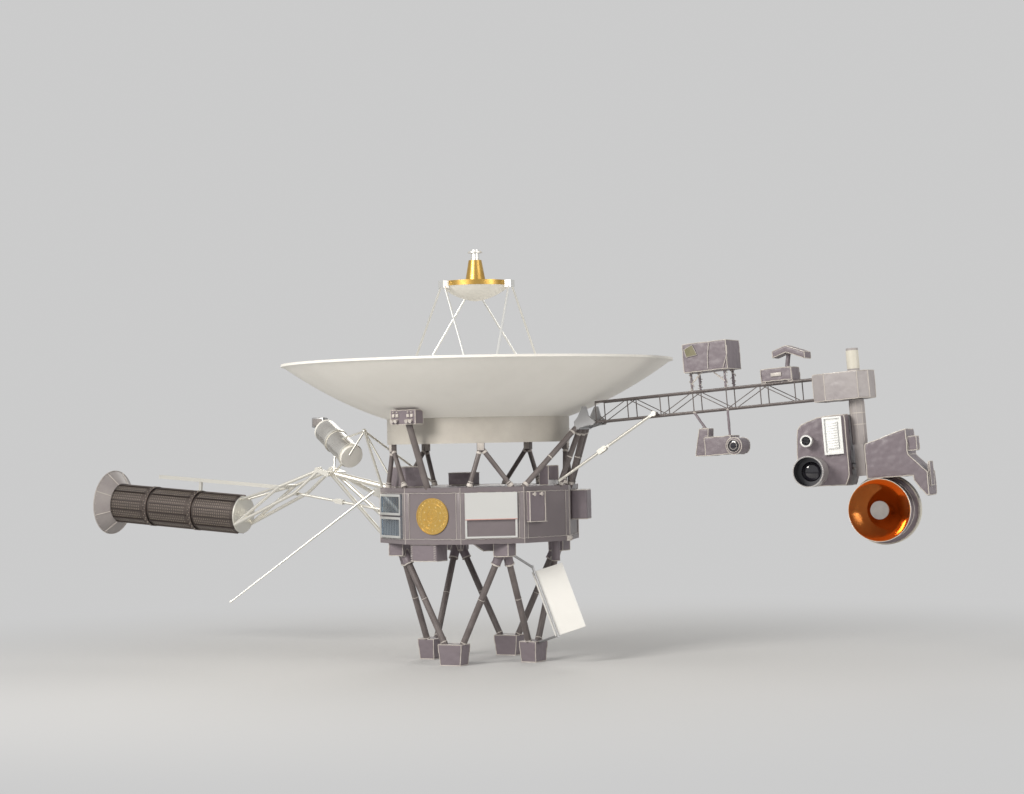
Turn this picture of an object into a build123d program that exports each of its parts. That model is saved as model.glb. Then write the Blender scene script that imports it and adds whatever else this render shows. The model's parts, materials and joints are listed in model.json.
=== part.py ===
"""Full-size deep-space probe, standing on the four feet of its lower truss.

Millimetres, +Z up. The origin is on the probe's axis at floor level, in the middle
of the four feet. +X points along the instrument boom, -X along the power boom and
-Y out of the equipment bay that carries the round disc.
"""
from build123d import *
import os
from math import atan2, cos, degrees, hypot, radians, sin, sqrt, tan

os.makedirs("parts", exist_ok=True)

# Ten-sided body
BODY_FLATS = 1780.0
BODY_FLOOR_Z = 1120.0
BODY_HEIGHT = 510.0
BODY_SIDES = 10
RING_WIDTH = 60.0
RING_DEPTH = 40.0
BAY_PANEL_THICK = 30.0
BAY_GAP = 3.0
DECK_THICK = 8.0
POST_WIDTH = 44.0

# Main dish and its support ring
DISH_DIAMETER = 3660.0
DISH_FOCAL = 1268.0
DISH_VERTEX_Z = 2130.0
DISH_SKIN = 8.0
DISH_LIP = 22.0
SUPPORT_RING_RADIUS = 854.0
SUPPORT_RING_WALL = 8.0
SUPPORT_RING_FLOOR_Z = 2030.0
SUPPORT_RING_FLANGE = 26.0
SUPPORT_RING_FLANGE_THICK = 10.0

# Sub-reflector on its six-legged truss, with the small antenna on top
SUB_RADIUS = 320.0
SUB_RIM_Z = 3500.0
SUB_DEPTH = 140.0
SUB_SKIN = 8.0
SUB_RING_HEIGHT = 46.0
SUB_RING_WIDTH = 18.0
FEED_LEG_DIAMETER = 22.0
FEED_BASE_RADIUS = 870.0
FEED_TOP_RADIUS = 365.0
FEED_BASE_ANGLE = 32.0
FEED_BLOCK = 44.0
FEED_FOOT = 60.0
CONE_BASE_RADIUS = 96.0
CONE_TOP_RADIUS = 61.0
CONE_HEIGHT = 200.0
LOW_GAIN_RADIUS = 40.0
LOW_GAIN_HEIGHT = 76.0
LOW_GAIN_PLATE_RADIUS = 70.0
LOW_GAIN_PLATE_THICK = 7.0
LOW_GAIN_CAP_HEIGHT = 22.0
FEED_HORN_RADIUS = 150.0
FEED_HORN_MOUTH = 105.0
FEED_HORN_HEIGHT = 430.0

# Truss between the body and the support ring
UPPER_STRUT_DIAMETER = 44.0
UPPER_NODE_ANGLE = 30.0
UPPER_NODE_COUNT = 5
UPPER_FOOT_SPREAD = 14.0
UPPER_FOOT_RADIUS = 868.0
UPPER_BLOCK = 70.0

# Lower truss and feet
FOOT_RADIUS = 540.0
FOOT_HEIGHT = 195.0
FOOT_TOP = (250.0, 170.0)
FOOT_SOLE = (206.0, 150.0)
FOOT_BOLT_RADIUS = 8.0
FOOT_BOLT_DEPTH = 60.0
FOOT_STRUT_OFFSET = 88.0
LOWER_NODE = 550.0
LOWER_STRUT_DIAMETER = 60.0
HOOD_SIZE = 150.0
HOOD_HEIGHT = 120.0
SLEEVE_DIAMETER = 86.0
SLEEVE_LENGTH = 215.0

# Instrument boom: its hinge line, its slope and its truss
BOOM_PIN_X = 1260.0
BOOM_PIN_Z = 2200.0
BOOM_SLOPE = 4.0
BOOM_HALF_WIDTH = 95.0
BOOM_DEPTH = 180.0
BOOM_BAY = 322.0
BOOM_POSTS = 7
BOOM_CHORD_DIAMETER = 20.0
BOOM_BRACE_DIAMETER = 10.0
HOUSING_START = 2120.0
HOUSING_END = 2620.0
HOUSING_HALF_WIDTH = 170.0
HOUSING_FLOOR = -24.0
HOUSING_TOP = 212.0
PIN_DIAMETER = 20.0
PIN_CLEARANCE = 0.05
KNUCKLE_DIAMETER = 40.0
KNUCKLE_WIDTH = 34.0
SIDE_GAP = 5.0

# Scan platform: the gimbal tube and the two instrument packages
GIMBAL_X = 2467.0
TUBE_UPPER_DIAMETER = 104.0
TUBE_LOWER_DIAMETER = 130.0
TUBE_TOP = 415.0
TUBE_FOOT = -416.0
ELEVATION_DROP = -600.0
PLATFORM_TURN = 8.0
SHAFT_DIAMETER = 60.0
YOKE_HALF_WIDTH = 40.0
YOKE_HALF_DEPTH = 62.0
PACKAGE_GAP = 76.0
SCOPE_RADIUS = 266.0
SCOPE_OFFSET = 172.0
SCOPE_DROP = -393.0
SCOPE_FRONT = 300.0
SCOPE_DEPTH = 140.0
SCOPE_WALL = 8.0

# Power boom: its hinge line, its slope and the three power cylinders
POWER_PIN_X = -1700.0
POWER_PIN_Z = 1800.0
POWER_SLOPE = 4.6
POWER_AXIS_DROP = -510.0
CYLINDER_START = 940.0
CYLINDER_LENGTH = 500.0
CYLINDER_GAP = 46.0
CYLINDER_RADIUS = 184.0
CYLINDER_WALL = 20.0
CYLINDER_COUNT = 3
FIN_COUNT = 12
FIN_HEIGHT = 14.0
FIN_THICK = 7.0
SHIELD_RADIUS = 325.0
SHIELD_NECK_RADIUS = 202.0
SHIELD_DEPTH = 116.0
SHIELD_SKIN = 5.0
POWER_TUBE_DIAMETER = 32.0
TRAY_WIDTH = 60.0
TRAY_HEIGHT = 34.0

# Folding braces
BRACE_DIAMETER = 26.0
BRACE_KNOB_DIAMETER = 62.0
EYE_DIAMETER = 44.0
EYE_THICK = 16.0

# Stowed mast canister
CANISTER_DIAMETER = 228.0
CANISTER_TOP = (-1857.0, 250.0, 2187.0)
CANISTER_FOOT = (-1384.0, -20.0, 1918.0)

# Calibration panel
PANEL_SIZE = (300.0, 625.0, 14.0)

nodes = {}


def ring_point(radius, angle, z):
    """Point at a radius and a bearing, counted from -Y towards +X."""
    return Vector(radius * sin(radians(angle)), -radius * cos(radians(angle)), z)


def bay_plane(angle, radius, z):
    """Plane on a bearing: x across the face, y inwards, z up."""
    return Plane(origin=ring_point(radius, angle, z), x_dir=(cos(radians(angle)), sin(radians(angle)), 0),
                 z_dir=(0, 0, 1))


def tube(start, end, diameter):
    """Round bar from one point to another."""
    start, end = Vector(start), Vector(end)
    span = end - start
    return Plane(origin=start, z_dir=span) * Cylinder(
        diameter / 2, span.length, align=(Align.CENTER, Align.CENTER, Align.MIN))


def cone(start, end, r_start, r_end):
    """Tapered round bar from one point to another."""
    start, end = Vector(start), Vector(end)
    span = end - start
    return Plane(origin=start, z_dir=span) * Cone(
        r_start, r_end, span.length, align=(Align.CENTER, Align.CENTER, Align.MIN))


def block(plane, low, high):
    """Box between two corners in a plane's own coordinates."""
    size = [h - l for l, h in zip(low, high)]
    middle = [(h + l) / 2 for l, h in zip(low, high)]
    return plane * Pos(*middle) * Box(*size)


def prism(plane, outline, length):
    """Closed outline in a plane's X-Y, extruded along its Z."""
    face = make_face(Polyline(*outline, close=True))
    return plane * extrude(face, amount=length)


def at(plane, *local):
    """World point of a point in a plane's own coordinates."""
    return plane.from_local_coords(Vector(*local))


def biggest(shape):
    """The largest solid of a shape, without the stubs that a cut leaves."""
    return max(shape.solids(), key=lambda s: s.volume)


def seat(piece, *carriers):
    """Cut a piece back to the faces of what carries it."""
    for carrier in carriers:
        piece = piece - carrier
    return biggest(piece)


def group(*pieces):
    """Several separate solids as one shape."""
    solids = []
    for piece in pieces:
        solids.extend(piece.solids())
    return Compound(solids)


def assembled(pieces, *carriers):
    """Pieces that each stop at the faces of what carries them and of the pieces before them."""
    placed = []
    for piece in pieces:
        placed.append(seat(piece, *carriers, *placed))
    return placed


def decagon(flats):
    """Regular ten-sided outline with a flat towards -Y."""
    corner = flats / 2 / cos(radians(18))
    return Polyline(*[tuple(ring_point(corner, 18 + 36 * k, 0))[:2] for k in range(BODY_SIDES)],
                    close=True)


def decagon_plate(flats, z, thick):
    """Ten-sided plate standing on a height."""
    return Pos(0, 0, z) * extrude(make_face(decagon(flats)), amount=thick)


# Ten-sided body
body_top_z = BODY_FLOOR_Z + BODY_HEIGHT
inner_flats = BODY_FLATS - 2 * RING_WIDTH
bay_floor_z = BODY_FLOOR_Z + RING_DEPTH
bay_height = BODY_HEIGHT - 2 * RING_DEPTH
corner_radius = BODY_FLATS / 2 / cos(radians(18))
face_width = BODY_FLATS * tan(radians(18))

frame = Part()
for z in (BODY_FLOOR_Z, body_top_z - RING_DEPTH):
    frame += decagon_plate(BODY_FLATS, z, RING_DEPTH) - decagon_plate(inner_flats, z, RING_DEPTH)
for k in range(BODY_SIDES):
    post = block(bay_plane(18 + 36 * k, corner_radius - RING_WIDTH, bay_floor_z),
                 (-POST_WIDTH / 2, -RING_WIDTH, 0), (POST_WIDTH / 2, RING_WIDTH / 2, bay_height))
    frame += post & decagon_plate(BODY_FLATS, bay_floor_z, bay_height)
nodes["bus_frame"] = frame

nodes["decks"] = group(decagon_plate(inner_flats, body_top_z - DECK_THICK, DECK_THICK),
                       decagon_plate(inner_flats, BODY_FLOOR_Z, DECK_THICK))


def bay_panel(angle, inset, thick):
    """Cover of one equipment bay, set between the corner posts."""
    half = face_width / 2 - inset
    return block(bay_plane(angle, BODY_FLATS / 2, bay_floor_z), (-half, BAY_GAP, 0),
                 (half, BAY_GAP + thick, bay_height))


DISC_BAY, WHITE_BAY, BOX_BAY, SIDE_BAY, LOUVRE_BAY = 0, 36, 72, 108, -36
panels = [seat(bay_panel(36 * k, 4.0, BAY_PANEL_THICK), frame) for k in range(BODY_SIDES)]
nodes["bay_panels"] = group(*panels)


def on_bay(angle, low, high):
    """Flat piece that stands on the cover of a bay: across, out and up."""
    plane = bay_plane(angle, BODY_FLATS / 2, bay_floor_z)
    return block(plane, (low[0], BAY_GAP - high[1], low[2]), (high[0], BAY_GAP - low[1], high[2]))


# Louvres: two stacked sets of blades in a white frame
LOUVRE_WIDTH, LOUVRE_FRAME, LOUVRE_STANDOFF, BLADE_PITCH = 460.0, 22.0, 26.0, 38.0
louvres = Part()
for z_low, z_high in ((14.0, 206.0), (222.0, 414.0)):
    outer = on_bay(LOUVRE_BAY, (-LOUVRE_WIDTH / 2, 0, z_low), (LOUVRE_WIDTH / 2, LOUVRE_STANDOFF, z_high))
    hole = on_bay(LOUVRE_BAY, (-LOUVRE_WIDTH / 2 + LOUVRE_FRAME, 0, z_low + LOUVRE_FRAME),
                  (LOUVRE_WIDTH / 2 - LOUVRE_FRAME, LOUVRE_STANDOFF, z_high - LOUVRE_FRAME))
    louvres += outer - hole
    blade_count = int((LOUVRE_WIDTH - 2 * LOUVRE_FRAME) / BLADE_PITCH)
    for k in range(blade_count):
        x = (k - (blade_count - 1) / 2) * BLADE_PITCH
        louvres += on_bay(LOUVRE_BAY, (x - BLADE_PITCH * 0.36, 0, z_low + LOUVRE_FRAME),
                          (x + BLADE_PITCH * 0.36, LOUVRE_STANDOFF * 0.6, z_high - LOUVRE_FRAME))
nodes["louvres"] = group(louvres)

# Round disc on its bay
DISC_RADIUS, DISC_THICK = 165.0, 12.0
disc_plane = Plane(origin=(0, -BODY_FLATS / 2 + BAY_GAP, bay_floor_z + bay_height / 2), x_dir=(1, 0, 0),
                   z_dir=(0, -1, 0))
disc = disc_plane * Cylinder(DISC_RADIUS, DISC_THICK, align=(Align.CENTER, Align.CENTER, Align.MIN))
disc -= disc_plane * Pos(0, 0, DISC_THICK - 3) * Cylinder(DISC_RADIUS - 9, 3,
                                                          align=(Align.CENTER, Align.CENTER, Align.MIN))
nodes["gold_disc"] = disc

# White radiator plate over the upper half of its bay, with a pale frame round the lower half
white = on_bay(WHITE_BAY, (-250, 0, 180), (225, 22, 424))
frame_low = on_bay(WHITE_BAY, (-250, 0, 14), (225, 10,
                                              180)) - on_bay(WHITE_BAY, (-232, 0, 30), (207, 10, 180))
nodes["radiator_plate"] = group(white + frame_low)
bay_box = on_bay(BOX_BAY, (-258, 0, 150), (-60, 46, 424))

# Box outside the body's far bay
side_box = fillet(on_bay(SIDE_BAY, (-150, 0, 150), (150, 150, 420)).edges().filter_by(Axis.Z), 18)

# Boxes under the body
under_plane = Plane(origin=(0, 0, BODY_FLOOR_Z), x_dir=(1, 0, 0), z_dir=(0, 0, 1))
nodes["bay_boxes"] = group(bay_box, side_box)
nodes["under_boxes"] = group(
    fillet(block(under_plane, (-250, -870, -155), (22, -660, 0)).edges().filter_by(Axis.Z), 14),
    prism(Plane(origin=(300, -500, BODY_FLOOR_Z), x_dir=(0.81, 0.59, 0), z_dir=(-0.59, 0.81, 0)),
          [(-105, 0), (105, 0), (90, 70), (-10, 70)], -120),
    tube((760, 60, BODY_FLOOR_Z), (760, 60, BODY_FLOOR_Z - 190), 76))

# Dish: a thin paraboloid with a rolled lip


def dish_height(radius):
    """Height of the dish's inner face over its vertex."""
    return radius * radius / (4 * DISH_FOCAL)


def dish_skin(offset, radii):
    """Arcs along the dish's face, moved along its normal by an offset."""
    points = []
    for r in radii:
        slope = r / (2 * DISH_FOCAL)
        norm = sqrt(1 + slope * slope)
        points.append((r + offset * slope / norm, DISH_VERTEX_Z + dish_height(r) - offset / norm))
    return points


dish_radius = DISH_DIAMETER / 2
dish_lip_z = DISH_VERTEX_Z + dish_height(dish_radius)
dish_marks = [0.0] + [dish_radius * k / 6 for k in range(1, 7)]
inner = dish_skin(0.0, dish_marks)
outer = dish_skin(DISH_SKIN, dish_marks)
profile = [ThreePointArc(inner[k], inner[k + 1], inner[k + 2]) for k in (0, 2, 4)]
profile += [ThreePointArc(outer[k], outer[k + 1], outer[k + 2]) for k in (0, 2, 4)]
profile += [Line(inner[0], outer[0]), Line(inner[-1], outer[-1])]
dish_shell = revolve(Plane.XZ * make_face(profile), Axis.Z)
lip = revolve(Plane.XZ * Pos(dish_radius - DISH_LIP / 2 + 4,
                             dish_lip_z - DISH_LIP / 2) * Rectangle(DISH_LIP, DISH_LIP), Axis.Z)
dish = dish_shell + lip

# Everything on and above the dish's underside, to cut what stands under it
over_profile = [ThreePointArc(outer[k], outer[k + 1], outer[k + 2]) for k in (0, 2, 4)]
over_profile += [Line(outer[-1], (outer[-1][0], SUB_RIM_Z)),
                 Line((outer[-1][0], SUB_RIM_Z), (0, SUB_RIM_Z)),
                 Line((0, SUB_RIM_Z), outer[0])]
over_dish = revolve(Plane.XZ * make_face(over_profile), Axis.Z)
# Everything under the dish's inner face, to cut what stands on it
under_profile = [ThreePointArc(inner[k], inner[k + 1], inner[k + 2]) for k in (0, 2, 4)]
under_profile += [Line(inner[-1], (inner[-1][0], BODY_FLOOR_Z)),
                  Line((inner[-1][0], BODY_FLOOR_Z), (0, BODY_FLOOR_Z)),
                  Line((0, BODY_FLOOR_Z), inner[0])]
under_dish = revolve(Plane.XZ * make_face(under_profile), Axis.Z)
nodes["dish"] = biggest(dish)


def round_wall(radius, wall, z_low, z_high):
    """Short upright cylinder wall."""
    return Pos(0, 0, z_low) * (Cylinder(radius, z_high - z_low,
                                        align=(Align.CENTER, Align.CENTER, Align.MIN))
                               - Cylinder(radius - wall, z_high - z_low,
                                          align=(Align.CENTER, Align.CENTER, Align.MIN)))


ring_top_z = DISH_VERTEX_Z + dish_height(SUPPORT_RING_RADIUS) + 40
support_ring = round_wall(SUPPORT_RING_RADIUS, SUPPORT_RING_WALL, SUPPORT_RING_FLOOR_Z, ring_top_z)
support_ring += round_wall(SUPPORT_RING_RADIUS, SUPPORT_RING_FLANGE, SUPPORT_RING_FLOOR_Z,
                           SUPPORT_RING_FLOOR_Z + SUPPORT_RING_FLANGE_THICK)
support_ring = seat(support_ring, over_dish)
nodes["support_ring"] = support_ring

# Feed horn in the bowl
horn_z = DISH_VERTEX_Z
horn = Pos(0, 0, horn_z - 40) * Cylinder(FEED_HORN_RADIUS, 130,
                                         align=(Align.CENTER, Align.CENTER, Align.MIN))
horn += Pos(0, 0, horn_z + 90) * Cone(70, FEED_HORN_MOUTH, FEED_HORN_HEIGHT - 90,
                                      align=(Align.CENTER, Align.CENTER, Align.MIN))
horn -= Pos(0, 0, horn_z + 180) * Cone(58, FEED_HORN_MOUTH - 8, FEED_HORN_HEIGHT - 180,
                                       align=(Align.CENTER, Align.CENTER, Align.MIN))
nodes["feed_horn"] = seat(horn, under_dish)

# Sub-reflector: a shallow dome under a round ring
sub_outer = [(0, SUB_RIM_Z - SUB_DEPTH), (SUB_RADIUS * 0.55, SUB_RIM_Z - SUB_DEPTH * 0.66),
             (SUB_RADIUS, SUB_RIM_Z)]
sub_inner = [(0, SUB_RIM_Z - SUB_DEPTH + SUB_SKIN),
             (SUB_RADIUS * 0.55, SUB_RIM_Z - SUB_DEPTH * 0.66 + SUB_SKIN),
             (SUB_RADIUS - 14, SUB_RIM_Z)]
dome = make_face([ThreePointArc(*sub_outer), Line(sub_outer[2], sub_inner[2]), ThreePointArc(*sub_inner),
                  Line(sub_inner[0], sub_outer[0])])
nodes["subreflector"] = revolve(Plane.XZ * dome, Axis.Z)
sub_ring = round_wall(SUB_RADIUS + 6, SUB_RING_WIDTH, SUB_RIM_Z, SUB_RIM_Z + SUB_RING_HEIGHT)
sub_ring += Pos(0, 0, SUB_RIM_Z + SUB_RING_HEIGHT - 8) * Cylinder(
    SUB_RADIUS, 8, align=(Align.CENTER, Align.CENTER, Align.MIN))
cone_z = SUB_RIM_Z + SUB_RING_HEIGHT
nodes["subreflector_crown"] = sub_ring + cone((0, 0, cone_z), (0, 0, cone_z + CONE_HEIGHT),
                                              CONE_BASE_RADIUS, CONE_TOP_RADIUS)
low_gain_z = cone_z + CONE_HEIGHT
low_gain = tube((0, 0, low_gain_z), (0, 0, low_gain_z + LOW_GAIN_HEIGHT + LOW_GAIN_CAP_HEIGHT),
                2 * LOW_GAIN_RADIUS)
low_gain += tube((0, 0, low_gain_z + LOW_GAIN_HEIGHT - LOW_GAIN_PLATE_THICK),
                 (0, 0, low_gain_z + LOW_GAIN_HEIGHT),
                 2 * LOW_GAIN_PLATE_RADIUS)
nodes["low_gain_antenna"] = low_gain

# Six feed legs between three feet on the dish and three blocks under the ring
top_blocks, feet_blocks, feed_legs = [], [], []
feed_base_z = DISH_VERTEX_Z + dish_height(FEED_BASE_RADIUS) + 34
for k in range(3):
    base_angle = FEED_BASE_ANGLE + 120 * k
    top_angle = base_angle + 60
    top_blocks.append(seat(block(bay_plane(top_angle, FEED_TOP_RADIUS, SUB_RIM_Z + SUB_RING_HEIGHT / 2),
                                 (-FEED_BLOCK, -FEED_BLOCK / 2, -FEED_BLOCK),
                                 (FEED_BLOCK, FEED_BLOCK * 1.4, FEED_BLOCK / 2)),
                           nodes["subreflector"], Pos(0, 0, SUB_RIM_Z - SUB_DEPTH) * Cylinder(
                               SUB_RADIUS + 6, SUB_DEPTH + SUB_RING_HEIGHT, align=(Align.CENTER, Align.CENTER, Align.MIN))))
    feet_blocks.append(seat(tube(ring_point(FEED_BASE_RADIUS, base_angle, feed_base_z - 90),
                                 ring_point(FEED_BASE_RADIUS, base_angle, feed_base_z), 2 * FEED_FOOT),
                            under_dish))
for k in range(3):
    for side in (-1, 1):
        base = ring_point(FEED_BASE_RADIUS, FEED_BASE_ANGLE + 120 * k, feed_base_z - 10)
        top = ring_point(FEED_TOP_RADIUS, FEED_BASE_ANGLE + 120 * k + 60 * side,
                         SUB_RIM_Z + SUB_RING_HEIGHT / 2 - 20)
        start = base + ring_point(1, FEED_BASE_ANGLE + 120 * k + 90, 0) * (side * 30)
        end = top - ring_point(1, FEED_BASE_ANGLE + 120 * k + 60 * side + 90, 0) * (side * 26)
        feed_legs.append(seat(tube(start, end, FEED_LEG_DIAMETER), feet_blocks[k],
                              top_blocks[k if side > 0 else k - 1],
                              nodes["subreflector"]))
nodes["feed_truss"] = group(*feed_legs, *top_blocks, *feet_blocks)

# Truss from the body's top ring to the support ring
upper_blocks, upper_struts = [], []
for k in range(UPPER_NODE_COUNT):
    angle = UPPER_NODE_ANGLE + 72 * k
    node = ring_point(SUPPORT_RING_RADIUS - 14, angle, SUPPORT_RING_FLOOR_Z - UPPER_BLOCK / 2)
    shoulder = block(bay_plane(angle, SUPPORT_RING_RADIUS - 14, SUPPORT_RING_FLOOR_Z),
                     (-UPPER_BLOCK / 2, -UPPER_BLOCK / 3, -UPPER_BLOCK),
                     (UPPER_BLOCK / 2, UPPER_BLOCK / 3, 0))
    upper_blocks.append(shoulder)
    for side in (-1, 1):
        foot = ring_point(UPPER_FOOT_RADIUS, angle + 6 + side * UPPER_FOOT_SPREAD, body_top_z - 30)
        upper_struts.append(seat(tube(foot, node, UPPER_STRUT_DIAMETER), frame, shoulder,
                                 decagon_plate(BODY_FLATS, body_top_z - 100, 100)))
nodes["upper_truss"] = group(*upper_struts, *upper_blocks)

# Feet and lower truss
feet, hoods, collars, lower_struts = [], [], [], []
for k in range(4):
    angle = 45 + 90 * k
    corner = ring_point(LOWER_NODE * sqrt(2), angle, BODY_FLOOR_Z)
    core = Pos(corner.X, corner.Y,
               BODY_FLOOR_Z - HOOD_HEIGHT / 2) * Box(HOOD_SIZE, HOOD_SIZE, HOOD_HEIGHT)
    hoods.append(core)
for k in range(4):
    angle = 90 * k
    plane = bay_plane(angle, FOOT_RADIUS, 0)
    sole = plane * make_face(Rectangle(*FOOT_SOLE).edges())
    crown = plane.offset(FOOT_HEIGHT) * make_face(Rectangle(*FOOT_TOP).edges())
    foot = loft([sole.face(), crown.face()])
    foot -= plane * Cylinder(FOOT_BOLT_RADIUS, FOOT_BOLT_DEPTH,
                             align=(Align.CENTER, Align.CENTER, Align.MIN))
    feet.append(foot)
    for side in (-1, 1):
        low = at(plane, side * FOOT_STRUT_OFFSET, 0, FOOT_HEIGHT - 20)
        high = ring_point(LOWER_NODE * sqrt(2), angle + 45 * side, BODY_FLOOR_Z)
        run = (high - low).normalized()
        hood = k if side > 0 else k - 1
        hoods[hood] += tube(high - run * SLEEVE_LENGTH, high + run * 80, SLEEVE_DIAMETER)
        lower_struts.append((low, high, k, hood))
slab = decagon_plate(BODY_FLATS, BODY_FLOOR_Z, BODY_HEIGHT)
hoods = [seat(hood, slab) for hood in hoods]
struts = []
for low, high, k, hood in lower_struts:
    struts.append(seat(tube(low, high, LOWER_STRUT_DIAMETER), feet[k], hoods[hood], slab))
nodes["feet"] = group(*feet)
nodes["strut_hoods"] = group(*hoods)
nodes["lower_struts"] = group(*struts)

# Calibration panel beside the right foot, on its frame
panel_across = Vector(0.70, 0.66, 0.27).normalized()
panel_down = Vector(0.366, -0.045, -0.93)
panel_normal = panel_across.cross(panel_down).normalized()
panel_plane = Plane(origin=(885, -145, 590), x_dir=panel_across, z_dir=panel_normal)
half_w, half_l, panel_t = PANEL_SIZE[0] / 2, PANEL_SIZE[1] / 2, PANEL_SIZE[2]
panel = block(panel_plane, (-half_w, -half_l, 0), (half_w, half_l, panel_t))
nodes["calibration_panel"] = panel
PANEL_BAR = 22.0
bar_x = -half_w + 20
rail = tube(at(panel_plane, bar_x, -half_l - 60, -PANEL_BAR / 2),
            at(panel_plane, bar_x, half_l + 20, -PANEL_BAR / 2), PANEL_BAR)
rail_ends = [at(panel_plane, bar_x, -half_l - 40, -PANEL_BAR / 2),
             at(panel_plane, bar_x, half_l, -PANEL_BAR / 2)]
right_hood = ring_point(LOWER_NODE * sqrt(2), 45, BODY_FLOOR_Z - HOOD_HEIGHT / 2)
right_foot = ring_point(FOOT_RADIUS, 90, FOOT_HEIGHT - 40)
top_end, low_end = sorted(rail_ends, key=lambda p: -p.Z)
panel_frame = assembled([rail, tube(top_end, right_hood, PANEL_BAR),
                         tube(low_end, right_foot, PANEL_BAR)],
                        panel, hoods[0], feet[1], *struts)
nodes["panel_frame"] = group(*panel_frame)

# Root fitting of the instrument boom and the struts that carry it
boom_plane = Plane(origin=(BOOM_PIN_X, 0, BOOM_PIN_Z),
                   x_dir=(cos(radians(BOOM_SLOPE)), 0, sin(radians(BOOM_SLOPE))),
                   z_dir=(-sin(radians(BOOM_SLOPE)), 0, cos(radians(BOOM_SLOPE))))
CHEEK_THICK = 18.0
CHEEK_OUTLINE = [(-190, -52), (-60, -26), (0, -24), (24, 0), (0, 24), (-40, 60), (-60, 150), (-96, 150),
                 (-150, 60), (-190, 20)]
boom_root = Part()
for side in (-1, 1):
    inner_y = side * (BOOM_HALF_WIDTH + KNUCKLE_WIDTH / 2 + SIDE_GAP)
    outer_y = inner_y + side * CHEEK_THICK
    low_y, high_y = min(inner_y, outer_y), max(inner_y, outer_y)
    cheek_plane = Plane(origin=at(boom_plane, 0, high_y, 0), x_dir=boom_plane.x_dir,
                        z_dir=-boom_plane.y_dir)
    boom_root += prism(cheek_plane, [(x, z) for x, z in CHEEK_OUTLINE], CHEEK_THICK)
    pin_end = side * (BOOM_HALF_WIDTH - KNUCKLE_WIDTH / 2 - 8)
    boom_root += tube(at(boom_plane, 0, outer_y, 0), at(boom_plane, 0, pin_end, 0), PIN_DIAMETER)
cheek_reach = BOOM_HALF_WIDTH + KNUCKLE_WIDTH / 2 + SIDE_GAP + CHEEK_THICK
boom_root += block(boom_plane, (-190, -cheek_reach, -52), (-150, cheek_reach, 20))
boom_root = seat(boom_root, over_dish)
ROOT_STRUT_DIAMETER = 50.0
# columns: bearing of the foot on the top ring, sideways place of the head
ROOT_STRUTS = ((54.0, -100.0), (84.0, -40.0), (100.0, 40.0), (129.0, 100.0))
root_beam = at(boom_plane, -170, 0, -16)
root_struts = []
for bearing, across in ROOT_STRUTS:
    foot = ring_point(880, bearing, body_top_z - 30)
    root_struts.append(tube(foot, (root_beam.X, across, root_beam.Z), ROOT_STRUT_DIAMETER))
root_struts = assembled(root_struts, boom_root, decagon_plate(BODY_FLATS, body_top_z - 100, 100))
nodes["root_struts"] = group(*root_struts)

# Instrument boom: four chords with posts, rungs and diagonals, hinged on its two lower chords
chord_end = HOUSING_START
boom_truss = Part()
for side in (-1, 1):
    y = side * BOOM_HALF_WIDTH
    boom_truss += tube(at(boom_plane, 0, y, 0), at(boom_plane, chord_end, y, 0), BOOM_CHORD_DIAMETER)
    boom_truss += tube(at(boom_plane, 20, y, BOOM_DEPTH), at(boom_plane, chord_end, y, BOOM_DEPTH),
                       BOOM_CHORD_DIAMETER)
for k in range(BOOM_POSTS):
    x = 20 + k * BOOM_BAY
    for side in (-1, 1):
        y = side * BOOM_HALF_WIDTH
        boom_truss += tube(at(boom_plane, x, y, 0), at(boom_plane, x, y, BOOM_DEPTH), BOOM_BRACE_DIAMETER)
    if k:
        boom_truss += tube(at(boom_plane, x, -BOOM_HALF_WIDTH, 0), at(boom_plane, x, BOOM_HALF_WIDTH, 0),
                           BOOM_BRACE_DIAMETER)
    boom_truss += tube(at(boom_plane, x, -BOOM_HALF_WIDTH, BOOM_DEPTH),
                       at(boom_plane, x, BOOM_HALF_WIDTH, BOOM_DEPTH), BOOM_BRACE_DIAMETER)
for side in (-1, 1):
    y = side * BOOM_HALF_WIDTH
    knuckle = tube(at(boom_plane, 0, y - KNUCKLE_WIDTH / 2, 0),
                   at(boom_plane, 0, y + KNUCKLE_WIDTH / 2, 0), KNUCKLE_DIAMETER)
    boom_truss += knuckle
    boom_truss -= tube(at(boom_plane, 0, y - KNUCKLE_WIDTH, 0), at(boom_plane, 0, y + KNUCKLE_WIDTH, 0),
                       PIN_DIAMETER + 2 * PIN_CLEARANCE)
BRACE_PIN_U, BRACE_PIN_W = 620.0, 20.0
BRACE_SIDE_Y = -160.0
boom_truss += tube(at(boom_plane, BRACE_PIN_U, -BOOM_HALF_WIDTH, BRACE_PIN_W),
                   at(boom_plane, BRACE_PIN_U, BRACE_SIDE_Y + EYE_THICK / 2 + SIDE_GAP + 1, BRACE_PIN_W),
                   34)
boom_truss = biggest(boom_truss)
diagonals = []
for k in range(BOOM_POSTS - 1):
    x0, x1 = 20 + k * BOOM_BAY, 20 + (k + 1) * BOOM_BAY
    low_x, high_x = (x0, x1) if k % 2 == 0 else (x1, x0)
    for side in (-1, 1):
        y = side * BOOM_HALF_WIDTH
        diagonals.append(seat(tube(at(boom_plane, low_x, y, 0), at(boom_plane, high_x, y, BOOM_DEPTH),
                                   BOOM_BRACE_DIAMETER - 2), boom_truss))
nodes["boom_truss"] = group(boom_truss, *diagonals)

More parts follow.
